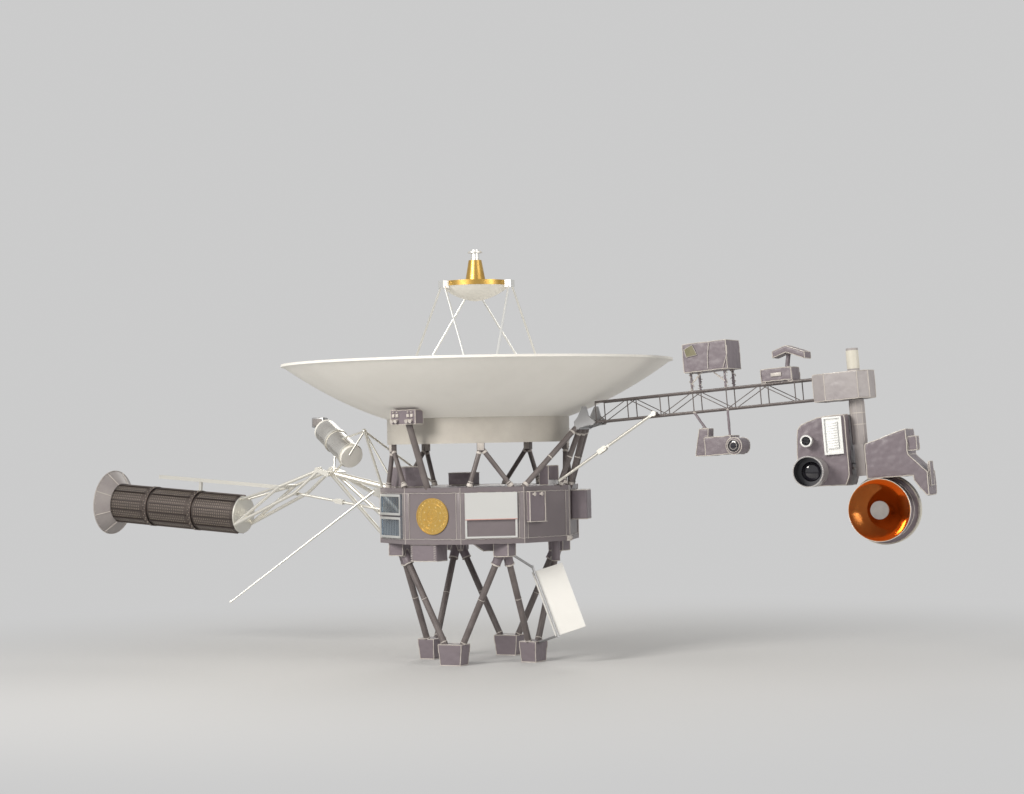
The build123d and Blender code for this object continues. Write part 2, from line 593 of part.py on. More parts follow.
# Housing of the azimuth drive at the boom's end, with the gimbal tube through it
HOUSING_OUTLINE = [(HOUSING_START, -100), (2250, -HOUSING_HALF_WIDTH), (2550, -HOUSING_HALF_WIDTH),
                   (HOUSING_END, -80),
                   (HOUSING_END, 80), (2550, HOUSING_HALF_WIDTH), (2250, HOUSING_HALF_WIDTH),
                   (HOUSING_START, 100)]
housing = prism(boom_plane.offset(HOUSING_FLOOR), HOUSING_OUTLINE, HOUSING_TOP - HOUSING_FLOOR)
gimbal_low = at(boom_plane, GIMBAL_X, 0, HOUSING_FLOOR - 10)
gimbal_high = at(boom_plane, GIMBAL_X, 0, HOUSING_TOP + 10)
housing -= tube(gimbal_low, gimbal_high, TUBE_UPPER_DIAMETER + 2 * PIN_CLEARANCE)
nodes["gimbal_housing"] = housing

gimbal = tube(at(boom_plane, GIMBAL_X, 0, HOUSING_FLOOR - SIDE_GAP),
              at(boom_plane, GIMBAL_X, 0, TUBE_TOP), TUBE_UPPER_DIAMETER)
gimbal += tube(at(boom_plane, GIMBAL_X, 0, TUBE_FOOT),
               at(boom_plane, GIMBAL_X, 0, HOUSING_FLOOR - SIDE_GAP), TUBE_LOWER_DIAMETER)

# Scan platform, in its own plane: x across the platform, y backwards, z up
turn = radians(PLATFORM_TURN)
across_dir = boom_plane.x_dir * cos(turn) + boom_plane.y_dir * sin(turn)
platform = Plane(origin=at(boom_plane, GIMBAL_X, 0, ELEVATION_DROP), x_dir=across_dir,
                 z_dir=boom_plane.z_dir)
yoke = block(platform, (-YOKE_HALF_WIDTH, -YOKE_HALF_DEPTH, -90),
             (YOKE_HALF_WIDTH, YOKE_HALF_DEPTH, TUBE_FOOT - ELEVATION_DROP))
yoke -= tube(at(platform, -100, 0, 0), at(platform, 100, 0, 0), SHAFT_DIAMETER + 2 * PIN_CLEARANCE)
nodes["gimbal"] = gimbal + yoke
nodes["elevation_shaft"] = tube(at(platform, -PACKAGE_GAP, 0, 0), at(platform, PACKAGE_GAP, 0, 0),
                                SHAFT_DIAMETER)

# Camera package: outline looking at its front, then its depth
CAMERA_OUTLINE = [(-PACKAGE_GAP, -70), (-110, -160), (-420, -145), (-527, -20), (-500, 345), (-456, 396),
                  (-303, 442), (-PACKAGE_GAP, 450)]
CAMERA_FRONT, CAMERA_BACK = 190.0, 250.0
face_plane = Plane(origin=at(platform, 0, -CAMERA_FRONT, 0), x_dir=platform.x_dir,
                   z_dir=platform.y_dir * -1)
camera_box = prism(face_plane, CAMERA_OUTLINE, -(CAMERA_FRONT + CAMERA_BACK))
nodes["camera_package"] = camera_box
WIDE_LENS = (-385.0, -20.0, 132.0, 230.0)
NARROW_LENS = (-410.0, 245.0, 50.0, 90.0)
lenses = []
for x, z, radius, reach in (WIDE_LENS, NARROW_LENS):
    barrel = tube(at(platform, x, -CAMERA_FRONT, z), at(platform, x, -CAMERA_FRONT - reach, z),
                  2 * radius)
    barrel -= tube(at(platform, x, -CAMERA_FRONT - reach * 0.4, z),
                   at(platform, x, -CAMERA_FRONT - reach - 5, z), 2 * radius - 16)
    lenses.append(barrel)
nodes["camera_lenses"] = group(*lenses)
radiator = block(platform, (-270, -CAMERA_FRONT - 26, 112), (-104, -CAMERA_FRONT, 436))
radiator -= block(platform, (-254, -CAMERA_FRONT - 26, 128), (-120, -CAMERA_FRONT - 8, 420))
radiator += block(platform, (-232, -CAMERA_FRONT - 20, 160), (-142, -CAMERA_FRONT - 8, 392))
nodes["camera_radiator"] = radiator

# Second package with the telescope under it
SPECTRO_OUTLINE = [(PACKAGE_GAP, -122), (470, -122), (470, -168), (569, -300), (590, -300), (590, -100),
                   (440, 60), (438, 281), (PACKAGE_GAP, 176)]
SPECTRO_FRONT, SPECTRO_BACK = 210.0, 190.0
spectro_plane = Plane(origin=at(platform, 0, -SPECTRO_FRONT, 0), x_dir=platform.x_dir,
                      z_dir=platform.y_dir * -1)
nodes["spectrometer_package"] = prism(spectro_plane, SPECTRO_OUTLINE, -(SPECTRO_FRONT + SPECTRO_BACK))

scope_axis_front = at(platform, SCOPE_OFFSET, -SCOPE_FRONT, SCOPE_DROP)
scope_axis_back = at(platform, SCOPE_OFFSET, -SCOPE_FRONT + SCOPE_DEPTH, SCOPE_DROP)
scope_plane = Plane(origin=scope_axis_back, x_dir=platform.x_dir, z_dir=platform.y_dir * -1)
bowl_depth = SCOPE_DEPTH
bowl_out = [(0, 0), (SCOPE_RADIUS * 0.62, bowl_depth * 0.30), (SCOPE_RADIUS, bowl_depth)]
bowl_in = [(0, SCOPE_WALL), (SCOPE_RADIUS * 0.62 - 4, bowl_depth * 0.30 + SCOPE_WALL),
           (SCOPE_RADIUS - SCOPE_WALL, bowl_depth)]
bowl_face = make_face([ThreePointArc(*bowl_out), Line(bowl_out[2], bowl_in[2]), ThreePointArc(*bowl_in),
                       Line(bowl_in[0], bowl_out[0])])
bowl = scope_plane * revolve(Plane.XZ * bowl_face, Axis.Z)
nodes["telescope_dish"] = bowl
drum = tube(scope_axis_back, at(platform, SCOPE_OFFSET, 200, SCOPE_DROP), 2 * SCOPE_RADIUS - 40)
drum += tube(at(platform, SCOPE_OFFSET, -40, SCOPE_DROP), at(platform, SCOPE_OFFSET, -20, SCOPE_DROP),
             2 * SCOPE_RADIUS + 60)
drum += tube(at(platform, SCOPE_OFFSET, 40, SCOPE_DROP), at(platform, SCOPE_OFFSET, 60, SCOPE_DROP),
             2 * SCOPE_RADIUS + 60)
nodes["telescope_drum"] = seat(drum, bowl, nodes["spectrometer_package"])
cap_front = -SCOPE_FRONT + 10
hub = tube(at(platform, SCOPE_OFFSET, -SCOPE_FRONT + SCOPE_DEPTH + 2, SCOPE_DROP),
           at(platform, SCOPE_OFFSET, cap_front, SCOPE_DROP), 40)
hub += tube(at(platform, SCOPE_OFFSET, cap_front + 30, SCOPE_DROP),
            at(platform, SCOPE_OFFSET, cap_front, SCOPE_DROP), 156)
nodes["telescope_cap"] = seat(hub, bowl)

sensors = group(
    block(platform, (438, -190, 90), (520, -60, 210)),
    block(platform, (590, -150, -218), (606, 20, -10)))
nodes["platform_sensors"] = group(*[seat(s, nodes["spectrometer_package"]) for s in sensors.solids()])

# Instruments along the boom
BOX_A = ((950, -165, 350), (1370, 150, 605))
instrument_a = block(boom_plane, *BOX_A)
legs_a = []
for x in (20 + 3 * BOOM_BAY, 20 + 4 * BOOM_BAY):
    for side in (-1, 1):
        legs_a.append(tube(at(boom_plane, x, side * BOOM_HALF_WIDTH, BOOM_DEPTH),
                           at(boom_plane, x, side * BOOM_HALF_WIDTH, 350), 24))
instrument_a = instrument_a + legs_a
nodes["upper_instrument"] = seat(instrument_a, boom_truss, *diagonals)

lower_b = block(boom_plane, (1100, -190, -400), (1350, 20, -240))
lower_b += prism(Plane(origin=at(boom_plane, 0, -150, 0), x_dir=boom_plane.x_dir,
                       z_dir=-boom_plane.y_dir),
                 [(985, -395), (1100, -400), (1130, -160), (1040, -156)], -120)
lower_b += tube(at(boom_plane, 1380, -200, -335), at(boom_plane, 1380, 0, -335), 150)
lower_b += tube(at(boom_plane, 20 + 4 * BOOM_BAY, -BOOM_HALF_WIDTH, 0),
                at(boom_plane, 20 + 4 * BOOM_BAY, -BOOM_HALF_WIDTH, -300), 26)
lower_b += tube(at(boom_plane, 20 + 3 * BOOM_BAY, -BOOM_HALF_WIDTH, 0),
                at(boom_plane, 1090, -BOOM_HALF_WIDTH, -170), 26)
nodes["lower_instrument"] = seat(lower_b, boom_truss, *diagonals)

instrument_c = block(boom_plane, (1650, -110, BOOM_DEPTH + 20), (1940, 90, BOOM_DEPTH + 130))
instrument_c += block(boom_plane, (1650, -BOOM_HALF_WIDTH - 12, BOOM_DEPTH - 2),
                      (1690, BOOM_HALF_WIDTH + 12, BOOM_DEPTH + 20))
instrument_c += block(boom_plane, (1900, -BOOM_HALF_WIDTH - 12, BOOM_DEPTH - 2),
                      (1940, BOOM_HALF_WIDTH + 12, BOOM_DEPTH + 20))
instrument_c += prism(Plane(origin=at(boom_plane, 0, 80, 0), x_dir=boom_plane.x_dir,
                            z_dir=-boom_plane.y_dir),
                      [(1760, 400), (1890, 440), (2060, 370), (2060, 430), (1890, 500), (1760, 460)], 160)
instrument_c += tube(at(boom_plane, 1860, 0, 300), at(boom_plane, 1890, 0, 450), 40)
nodes["outer_instrument"] = seat(instrument_c, boom_truss, *diagonals)

# Power boom outrigger: hinge beam carried by struts from the body's corner
power_plane = Plane(origin=(POWER_PIN_X, 0, POWER_PIN_Z),
                    x_dir=(-cos(radians(POWER_SLOPE)), 0, sin(radians(POWER_SLOPE))),
                    z_dir=(sin(radians(POWER_SLOPE)), 0, cos(radians(POWER_SLOPE))))
HINGE_HALF = 110.0
EAR_WIDTH = 30.0
BEAM_X, BEAM_Z = POWER_PIN_X + 110, POWER_PIN_Z - 40
ear_y = HINGE_HALF + EAR_WIDTH / 2 + SIDE_GAP
outrigger = tube((BEAM_X, -ear_y - EAR_WIDTH, BEAM_Z), (BEAM_X, ear_y + EAR_WIDTH, BEAM_Z), 50)
for side in (-1, 1):
    y_in, y_out = side * ear_y, side * (ear_y + EAR_WIDTH)
    low_y, high_y = min(y_in, y_out), max(y_in, y_out)
    outrigger += tube((POWER_PIN_X, low_y, POWER_PIN_Z), (POWER_PIN_X, high_y, POWER_PIN_Z),
                      KNUCKLE_DIAMETER + 14)
    ear_plane = Plane(origin=(POWER_PIN_X, high_y, POWER_PIN_Z), x_dir=(1, 0, 0), z_dir=(0, -1, 0))
    outrigger += prism(ear_plane, [(0, 20), (110, -15), (110, -65), (0, -20)], EAR_WIDTH)
    outrigger += tube((POWER_PIN_X, y_out, POWER_PIN_Z),
                      (POWER_PIN_X, side * (HINGE_HALF - EAR_WIDTH / 2 - 8), POWER_PIN_Z), PIN_DIAMETER)
# columns: offset along the beam, far end, diameter
OUTRIGGER_STRUTS = ((-30, Vector(-905, 0, 1600), 58),
                    (-75, ring_point(corner_radius - 30, -54, BODY_FLOOR_Z + 66), 36),
                    (75, ring_point(corner_radius - 30, -126, BODY_FLOOR_Z + 66), 36),
                    (20, Vector(-905, 0, 1225), 36))
for beam_y, far, diameter in OUTRIGGER_STRUTS:
    outrigger += tube((BEAM_X, beam_y, BEAM_Z), far, diameter)
body_block = decagon_plate(BODY_FLATS, BODY_FLOOR_Z, BODY_HEIGHT)
outrigger = seat(outrigger, body_block)
nodes["outrigger"] = outrigger

# Power boom: two side tubes a side, a cross bar and the cylinders' end plate
AXIS_Z = POWER_AXIS_DROP
boom_frame = Part()
for side in (-1, 1):
    y = side * HINGE_HALF
    boom_frame += tube(at(power_plane, 0, y - EAR_WIDTH / 2, 0), at(power_plane, 0, y + EAR_WIDTH / 2, 0),
                       KNUCKLE_DIAMETER + 14)
    corner_pt = (CYLINDER_START - 8, side * 150, AXIS_Z - 96)
    shoulder_pt = (430, side * 140, -190)
    boom_frame += tube(at(power_plane, 0, y, 0), at(power_plane, *shoulder_pt), POWER_TUBE_DIAMETER)
    boom_frame += tube(at(power_plane, *shoulder_pt), at(power_plane, *corner_pt), POWER_TUBE_DIAMETER)
    boom_frame += tube(at(power_plane, 0, y, 0), at(power_plane, 270, side * 130, -250),
                       POWER_TUBE_DIAMETER)
    boom_frame += tube(at(power_plane, 270, side * 130, -250), at(power_plane, *corner_pt),
                       POWER_TUBE_DIAMETER)
    boom_frame += tube(at(power_plane, *shoulder_pt),
                       at(power_plane, CYLINDER_START - 8, side * 60, AXIS_Z + 150),
                       POWER_TUBE_DIAMETER - 8)
boom_frame += tube(at(power_plane, 430, -140, -190), at(power_plane, 430, 140, -190), POWER_TUBE_DIAMETER)
for side in (-1, 1):
    y = side * HINGE_HALF
    boom_frame -= tube(at(power_plane, 0, y - EAR_WIDTH, 0), at(power_plane, 0, y + EAR_WIDTH, 0),
                       PIN_DIAMETER + 2 * PIN_CLEARANCE)
boom_frame += tube(at(power_plane, CYLINDER_START - 14, 0, AXIS_Z),
                   at(power_plane, CYLINDER_START, 0, AXIS_Z), 2 * CYLINDER_RADIUS)
POWER_BRACE_U, POWER_BRACE_W = 270.0, -250.0
POWER_BRACE_Y = -70.0
boom_frame += tube(at(power_plane, POWER_BRACE_U, 130, POWER_BRACE_W),
                   at(power_plane, POWER_BRACE_U, -POWER_BRACE_Y + EYE_THICK / 2 + SIDE_GAP + 1,
                      POWER_BRACE_W), 34)
boom_frame -= tube(at(power_plane, CYLINDER_START, 0, AXIS_Z),
                   at(power_plane, CYLINDER_START + 100, 0, AXIS_Z), 500)
nodes["power_boom"] = biggest(boom_frame)

cylinders, bulkheads = [], []
pitch = CYLINDER_LENGTH + CYLINDER_GAP
for k in range(CYLINDER_COUNT):
    x0 = CYLINDER_START + k * pitch
    x1 = x0 + CYLINDER_LENGTH
    can = tube(at(power_plane, x0, 0, AXIS_Z), at(power_plane, x1, 0, AXIS_Z), 2 * CYLINDER_RADIUS)
    fin_plane = Plane(origin=at(power_plane, x0, 0, AXIS_Z), x_dir=power_plane.y_dir,
                      z_dir=power_plane.x_dir)
    for j in range(FIN_COUNT):
        can += fin_plane * Rot(0, 0, 360 / FIN_COUNT * (j + 0.5)) * Pos(CYLINDER_RADIUS, 0, CYLINDER_LENGTH / 2) * Box(
            2 * FIN_HEIGHT, FIN_THICK, CYLINDER_LENGTH - 24)
    can -= tube(at(power_plane, x0, 0, AXIS_Z), at(power_plane, x1, 0, AXIS_Z),
                2 * (CYLINDER_RADIUS - CYLINDER_WALL))
    cylinders.append(can)
    if k < CYLINDER_COUNT - 1:
        bulkheads.append(tube(at(power_plane, x1, 0, AXIS_Z),
                              at(power_plane, x1 + CYLINDER_GAP, 0, AXIS_Z), 2 * CYLINDER_RADIUS + 26))
cylinder_end = CYLINDER_START + CYLINDER_COUNT * pitch - CYLINDER_GAP
bulkheads.append(tube(at(power_plane, cylinder_end, 0, AXIS_Z),
                      at(power_plane, cylinder_end + 14, 0, AXIS_Z), 2 * CYLINDER_RADIUS))
nodes["power_cylinders"] = group(*cylinders, *bulkheads)
shield_start = cylinder_end - SHIELD_DEPTH + 10
flare = cone(at(power_plane, shield_start, 0, AXIS_Z),
             at(power_plane, shield_start + SHIELD_DEPTH, 0, AXIS_Z), SHIELD_NECK_RADIUS, SHIELD_RADIUS)
flare -= cone(at(power_plane, shield_start, 0, AXIS_Z),
              at(power_plane, shield_start + SHIELD_DEPTH, 0, AXIS_Z),
              SHIELD_NECK_RADIUS - SHIELD_SKIN, SHIELD_RADIUS - SHIELD_SKIN)
nodes["end_shield"] = seat(flare, *cylinders, *bulkheads)
tray = block(power_plane, (430, -TRAY_WIDTH / 2, -224),
             (CYLINDER_START, TRAY_WIDTH / 2, -224 + TRAY_HEIGHT))
tray += block(power_plane, (CYLINDER_START - 40, -TRAY_WIDTH / 2, -224),
              (1960, TRAY_WIDTH / 2, -224 + TRAY_HEIGHT))
for x in (CYLINDER_START + CYLINDER_LENGTH + CYLINDER_GAP / 2,
          CYLINDER_START + pitch + CYLINDER_LENGTH + CYLINDER_GAP / 2):
    tray += block(power_plane, (x - 14, -14, AXIS_Z + CYLINDER_RADIUS), (x + 14, 14, -224))
nodes["cable_tray"] = seat(tray, *cylinders, *bulkheads, nodes["power_boom"])

# Mast canister over the outrigger, on two clamp bands and a tripod
canister_top, canister_foot = Vector(*CANISTER_TOP), Vector(*CANISTER_FOOT)
canister_dir = (canister_top - canister_foot).normalized()
canister = tube(canister_foot, canister_top, CANISTER_DIAMETER)
nodes["mast_canister"] = canister
TRIPOD_NODE = (-1220.0, -50.0, 2165.0)
supports = [Pos(*TRIPOD_NODE) * Sphere(24)]
for share in (0.07, 0.59):
    centre = canister_foot + (canister_top - canister_foot) * share
    supports.append(tube(centre - canister_dir * 14, centre + canister_dir * 14, CANISTER_DIAMETER + 20))
for share in (0.07, 0.59):
    centre = canister_foot + (canister_top - canister_foot) * share
    front = centre + Vector(0.49, -0.87, 0).normalized() * (CANISTER_DIAMETER / 2)
    supports.append(tube(front, TRIPOD_NODE, 20))
    supports.append(tube(front, (BEAM_X, -20, BEAM_Z + 10), 20))
for bearing, diameter in ((-54, 26), (-90, 18), (-126, 22)):
    supports.append(tube(TRIPOD_NODE, ring_point(corner_radius - 30, bearing, body_top_z - 20), diameter))
supports = assembled(supports, canister, body_block, outrigger)
nodes["canister_supports"] = group(*supports)

# Cabinets on the top deck
nodes["deck_boxes"] = group(
    fillet(block(Plane(origin=(-560, -380, body_top_z), x_dir=(0.81, -0.59, 0), z_dir=(0, 0, 1)),
                 (-170, -100, 0), (170, 100, 190)).edges().filter_by(Axis.Z), 16),
    fillet(block(Plane(origin=(-330, 300, body_top_z), x_dir=(1, 0, 0), z_dir=(0, 0, 1)), (-120, -100, 0),
                 (120, 100, 120)).edges().filter_by(Axis.Z), 16))
star_sensor = block(Plane(origin=(740, -10, body_top_z), x_dir=(0.9, -0.44, 0), z_dir=(0, 0, 1)),
                    (-70, -60, 0), (70, 60, 180))

nodes["deck_boxes"] = group(nodes["deck_boxes"], star_sensor)

# Thruster cluster on its strut in front of the support ring
cluster = block(bay_plane(-8, 1070, 2270), (-140, -60, -60), (140, 60, 70))
cluster_strut = tube(ring_point(860, -4, body_top_z - 20), ring_point(1070, -8, 2270), 60)
nodes["thruster_cluster"] = seat(cluster, over_dish, support_ring)
nodes["upper_truss"] = group(nodes["upper_truss"],
                             seat(cluster_strut, nodes["thruster_cluster"], body_block))

# Whip antenna on the body's left front corner
WHIP_ROOT = (-800.0, -545.0, 1612.0)
WHIP_TIP = (-2005.0, -1212.0, 591.0)
whip_box = Pos(-782, -530, 1590) * Rot(0, 0, 36) * Box(90, 90, 70)
whip_box = seat(whip_box, body_block)
whip = cone(WHIP_ROOT, WHIP_TIP, 12, 7)
nodes["whip_antenna"] = seat(whip_box + whip, body_block)

# Folding braces under the two booms: each is two halves with a knee between them
FORK_THICK = 8.0
FORK_REACH = 62.0
NECK = 54.0
KNEE_PIN_DIAMETER = 14.0


def brace(start, end, near_length):
    """Straight two-piece brace between two pins that lie across a vertical plane."""
    start, end = Vector(*start), Vector(*end)
    span = end - start
    far_length = span.length - near_length
    near = Plane(origin=start, x_dir=span, z_dir=(0, -1, 0))
    knee = Plane(origin=start + span.normalized() * near_length, x_dir=span, z_dir=(0, -1, 0))
    half = EYE_THICK / 2
    fork_in = half + SIDE_GAP
    fork_out = fork_in + FORK_THICK
    near_half = near * Cylinder(EYE_DIAMETER / 2, EYE_THICK)
    near_half += block(near, (0, -11, -half), (NECK, 11, half))
    near_half += tube(at(near, NECK - 10, 0, 0), at(knee, -FORK_REACH - 10, 0, 0), BRACE_DIAMETER)
    near_half += block(knee, (-FORK_REACH - 14, -EYE_DIAMETER / 2, -fork_out),
                       (-FORK_REACH + 8, EYE_DIAMETER / 2, fork_out))
    for low, high in ((-fork_out, -fork_in), (fork_in, fork_out)):
        near_half += block(knee, (-FORK_REACH, -EYE_DIAMETER / 2, low), (0, EYE_DIAMETER / 2, high))
        near_half += knee * Pos(0, 0, (low + high) / 2) * Cylinder(EYE_DIAMETER / 2, FORK_THICK)
    near_half += knee * Cylinder(KNEE_PIN_DIAMETER / 2, 2 * fork_out + 8)
    near_half -= near * Cylinder(PIN_DIAMETER / 2 + PIN_CLEARANCE, 3 * EYE_THICK)
    far_half = knee * Cylinder(EYE_DIAMETER / 2 - 2, EYE_THICK)
    far_half += block(knee, (0, -11, -half), (NECK, 11, half))
    far_half += tube(at(knee, NECK - 8, 0, 0), at(knee, far_length - NECK + 8, 0, 0), BRACE_DIAMETER)
    far_half += block(knee, (far_length - NECK, -11, -half), (far_length, 11, half))
    far_half += knee * Pos(far_length, 0, 0) * Cylinder(EYE_DIAMETER / 2, EYE_THICK)
    far_half -= knee * Cylinder(KNEE_PIN_DIAMETER / 2 + PIN_CLEARANCE, 3 * EYE_THICK)
    return near_half, far_half


SCIENCE_BRACE_FOOT = (900.0, BRACE_SIDE_Y, 1660.0)
science_end = at(boom_plane, BRACE_PIN_U, 0, BRACE_PIN_W)
science_end = Vector(science_end.X, BRACE_SIDE_Y, science_end.Z)
science_length = (science_end - Vector(*SCIENCE_BRACE_FOOT)).length
nodes["science_brace_near"], nodes["science_brace_far"] = brace(SCIENCE_BRACE_FOOT, science_end,
                                                                science_length / 2)

POWER_BRACE_FOOT = (-960.0, POWER_BRACE_Y, 1400.0)
POWER_BRACE_NEAR = 580.0
power_end = at(power_plane, POWER_BRACE_U, 0, POWER_BRACE_W)
power_end = Vector(power_end.X, POWER_BRACE_Y, power_end.Z)
nodes["power_brace_near"], nodes["power_brace_far"] = brace(POWER_BRACE_FOOT, power_end, POWER_BRACE_NEAR)

# Brackets that carry the braces' lower pins
EAR = 12.0
brackets = []
science_ear_y = BRACE_SIDE_Y - EYE_THICK / 2 - SIDE_GAP
bracket = block(Plane.XY, (820, science_ear_y - EAR, body_top_z), (876, science_ear_y, body_top_z + 52))
bracket += tube((SCIENCE_BRACE_FOOT[0], science_ear_y - EAR, SCIENCE_BRACE_FOOT[2]),
                (SCIENCE_BRACE_FOOT[0], science_ear_y, SCIENCE_BRACE_FOOT[2]), EYE_DIAMETER)
bracket += block(Plane.XY, (860, science_ear_y - EAR, 1642), (900, science_ear_y, 1678))
bracket += tube((SCIENCE_BRACE_FOOT[0], science_ear_y - EAR, SCIENCE_BRACE_FOOT[2]),
                (SCIENCE_BRACE_FOOT[0], BRACE_SIDE_Y + EYE_THICK / 2 + SIDE_GAP, SCIENCE_BRACE_FOOT[2]),
                PIN_DIAMETER)
brackets.append(bracket)
power_ear_y = POWER_BRACE_Y + EYE_THICK / 2 + SIDE_GAP
bracket = block(Plane.XY, (-960, power_ear_y, 1372), (-880, power_ear_y + EAR, 1428))
bracket += tube((POWER_BRACE_FOOT[0], power_ear_y, POWER_BRACE_FOOT[2]),
                (POWER_BRACE_FOOT[0], power_ear_y + EAR, POWER_BRACE_FOOT[2]), 56)
bracket += tube((POWER_BRACE_FOOT[0], power_ear_y + EAR, POWER_BRACE_FOOT[2]),
                (POWER_BRACE_FOOT[0], POWER_BRACE_Y - EYE_THICK / 2 - SIDE_GAP, POWER_BRACE_FOOT[2]),
                PIN_DIAMETER)
brackets.append(seat(bracket, body_block))
nodes["hinge_brackets"] = group(boom_root, *brackets)

for name, shape in nodes.items():
    export_step(shape, f"parts/{name}.step")
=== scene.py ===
"""Looks of the deep-space probe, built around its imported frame."""

import json
import logging
import math
import random
from dataclasses import dataclass
from enum import Enum
from typing import Iterable, Optional, Sequence

import bpy
from mathutils import Matrix, Vector

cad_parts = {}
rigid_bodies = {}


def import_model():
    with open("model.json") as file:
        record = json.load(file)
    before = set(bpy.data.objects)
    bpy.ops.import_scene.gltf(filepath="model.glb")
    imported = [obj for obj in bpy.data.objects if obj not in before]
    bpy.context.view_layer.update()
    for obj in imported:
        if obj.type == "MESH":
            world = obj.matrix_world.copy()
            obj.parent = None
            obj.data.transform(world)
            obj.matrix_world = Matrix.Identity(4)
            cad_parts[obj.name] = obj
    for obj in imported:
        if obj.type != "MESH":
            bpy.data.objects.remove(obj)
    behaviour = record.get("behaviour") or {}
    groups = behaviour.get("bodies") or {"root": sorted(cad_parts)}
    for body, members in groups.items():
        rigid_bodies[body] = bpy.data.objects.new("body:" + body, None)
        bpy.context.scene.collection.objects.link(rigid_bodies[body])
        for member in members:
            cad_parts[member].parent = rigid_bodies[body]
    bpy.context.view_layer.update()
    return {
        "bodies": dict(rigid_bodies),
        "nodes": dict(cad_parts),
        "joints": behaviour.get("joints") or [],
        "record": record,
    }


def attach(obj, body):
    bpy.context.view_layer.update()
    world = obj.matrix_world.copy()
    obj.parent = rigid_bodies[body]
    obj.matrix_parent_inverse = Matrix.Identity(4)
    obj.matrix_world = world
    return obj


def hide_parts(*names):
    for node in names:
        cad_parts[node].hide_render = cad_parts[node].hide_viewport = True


LOG = logging.getLogger("probe")
MM = 0.001
POWER_SLOPE = 4.6
UP = Vector((0, 0, 1))
Point = Sequence[float]
Shape = bpy.types.Object


@dataclass(frozen=True)
class Axes:
    """A local frame of the probe, its origin in metres."""

    origin: Vector
    x: Vector
    y: Vector
    z: Vector

    def mm(self, a: float, b: float, c: float) -> Vector:
        """World point of a local point in millimetres."""
        return self.origin + self.x * (a * MM) + self.y * (b * MM) + self.z * (c * MM)

    def turned(self, degrees: float) -> "Axes":
        """The same place, turned about its own y.

        Args:
            degrees: Angle from x towards z.

        Returns:
            The turned axes.
        """
        turn = math.radians(degrees)
        across = self.x * math.cos(turn) + self.z * math.sin(turn)
        return Axes(self.origin, across, self.y, self.z * math.cos(turn) - self.x * math.sin(turn))

    def matrix(self, place: Point) -> Matrix:
        """Matrix that stands a primitive at a local place in millimetres."""
        turn = Matrix((self.x, self.y, self.z)).transposed().to_4x4()
        return Matrix.Translation(self.mm(*place)) @ turn


def bay(bearing: float, radius: float, height: float) -> Axes:
    """Axes at a place around the body: x along the face, y inwards, z up.

    Args:
        bearing: Degrees around the body from its front face.
        radius: Distance from the body's axis, in millimetres.
        height: Height over the floor, in millimetres.

    Returns:
        The axes, their origin at that place.
    """
    angle = math.radians(bearing)
    origin = Vector((math.sin(angle), -math.cos(angle), 0)) * radius * MM + Vector((0, 0, height * MM))
    x = Vector((math.cos(angle), math.sin(angle), 0))
    return Axes(origin, x, UP.cross(x), UP)


def aimed(place: Vector, direction: Vector, axis: str = "Z") -> Matrix:
    """Matrix that stands a shape at a place with one axis along a direction."""
    return Matrix.Translation(place) @ Vector(direction).to_track_quat(axis, "Y").to_matrix().to_4x4()


@dataclass(frozen=True)
class Frames:
    """The local frames of the moving bodies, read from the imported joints."""

    boom: Axes
    platform: Axes
    power: Axes

    @staticmethod
    def read(joints: list) -> "Frames":
        """Work out the frames of the two booms and the scan platform.

        Args:
            joints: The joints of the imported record.

        Returns:
            The three frames.
        """
        by_name = {joint["name"]: joint for joint in joints}
        spots = [Vector(by_name[name]["pos_m"])
                 for name in ("science_boom_fold", "platform_elevation", "power_boom_fold")]
        side = Vector((0, 1, 0))
        boom_up = Vector(by_name["platform_azimuth"]["axis"]).normalized()
        across = Vector(by_name["platform_elevation"]["axis"]).normalized()
        slope = math.radians(POWER_SLOPE)
        out = Vector((-math.cos(slope), 0, math.sin(slope)))
        return Frames(Axes(spots[0], side.cross(boom_up), side, boom_up),
                      Axes(spots[1], across, boom_up.cross(across), boom_up),
                      Axes(spots[2], out, -side, out.cross(-side)))


class Graph:
    """A shader tree that grows node by node."""

    def __init__(self, tree: bpy.types.NodeTree) -> None:
        """Work on a material's, a world's or a group's tree."""
        self.tree = tree

    def node(self, kind: str, inputs: Optional[dict] = None, **facts) -> bpy.types.Node:
        """Add a node with its settings and the first values of its inputs.

        Args:
            kind: The node's type, without its prefix.
            inputs: First values, by the input's name or number.
            facts: Settings of the node.

        Returns:
            The new node.
        """
        node = self.tree.nodes.new(f"ShaderNode{kind}")
        for key, value in facts.items():
            setattr(node, key, value)
        for key, value in (inputs or {}).items():
            node.inputs[key].default_value = value
        return node

    def link(self, *links: tuple) -> None:
        """Add links, each of them a node, its output, the next node and its input."""
        for source, output, target, socket in links:
            self.tree.links.new(source.outputs[output], target.inputs[socket])


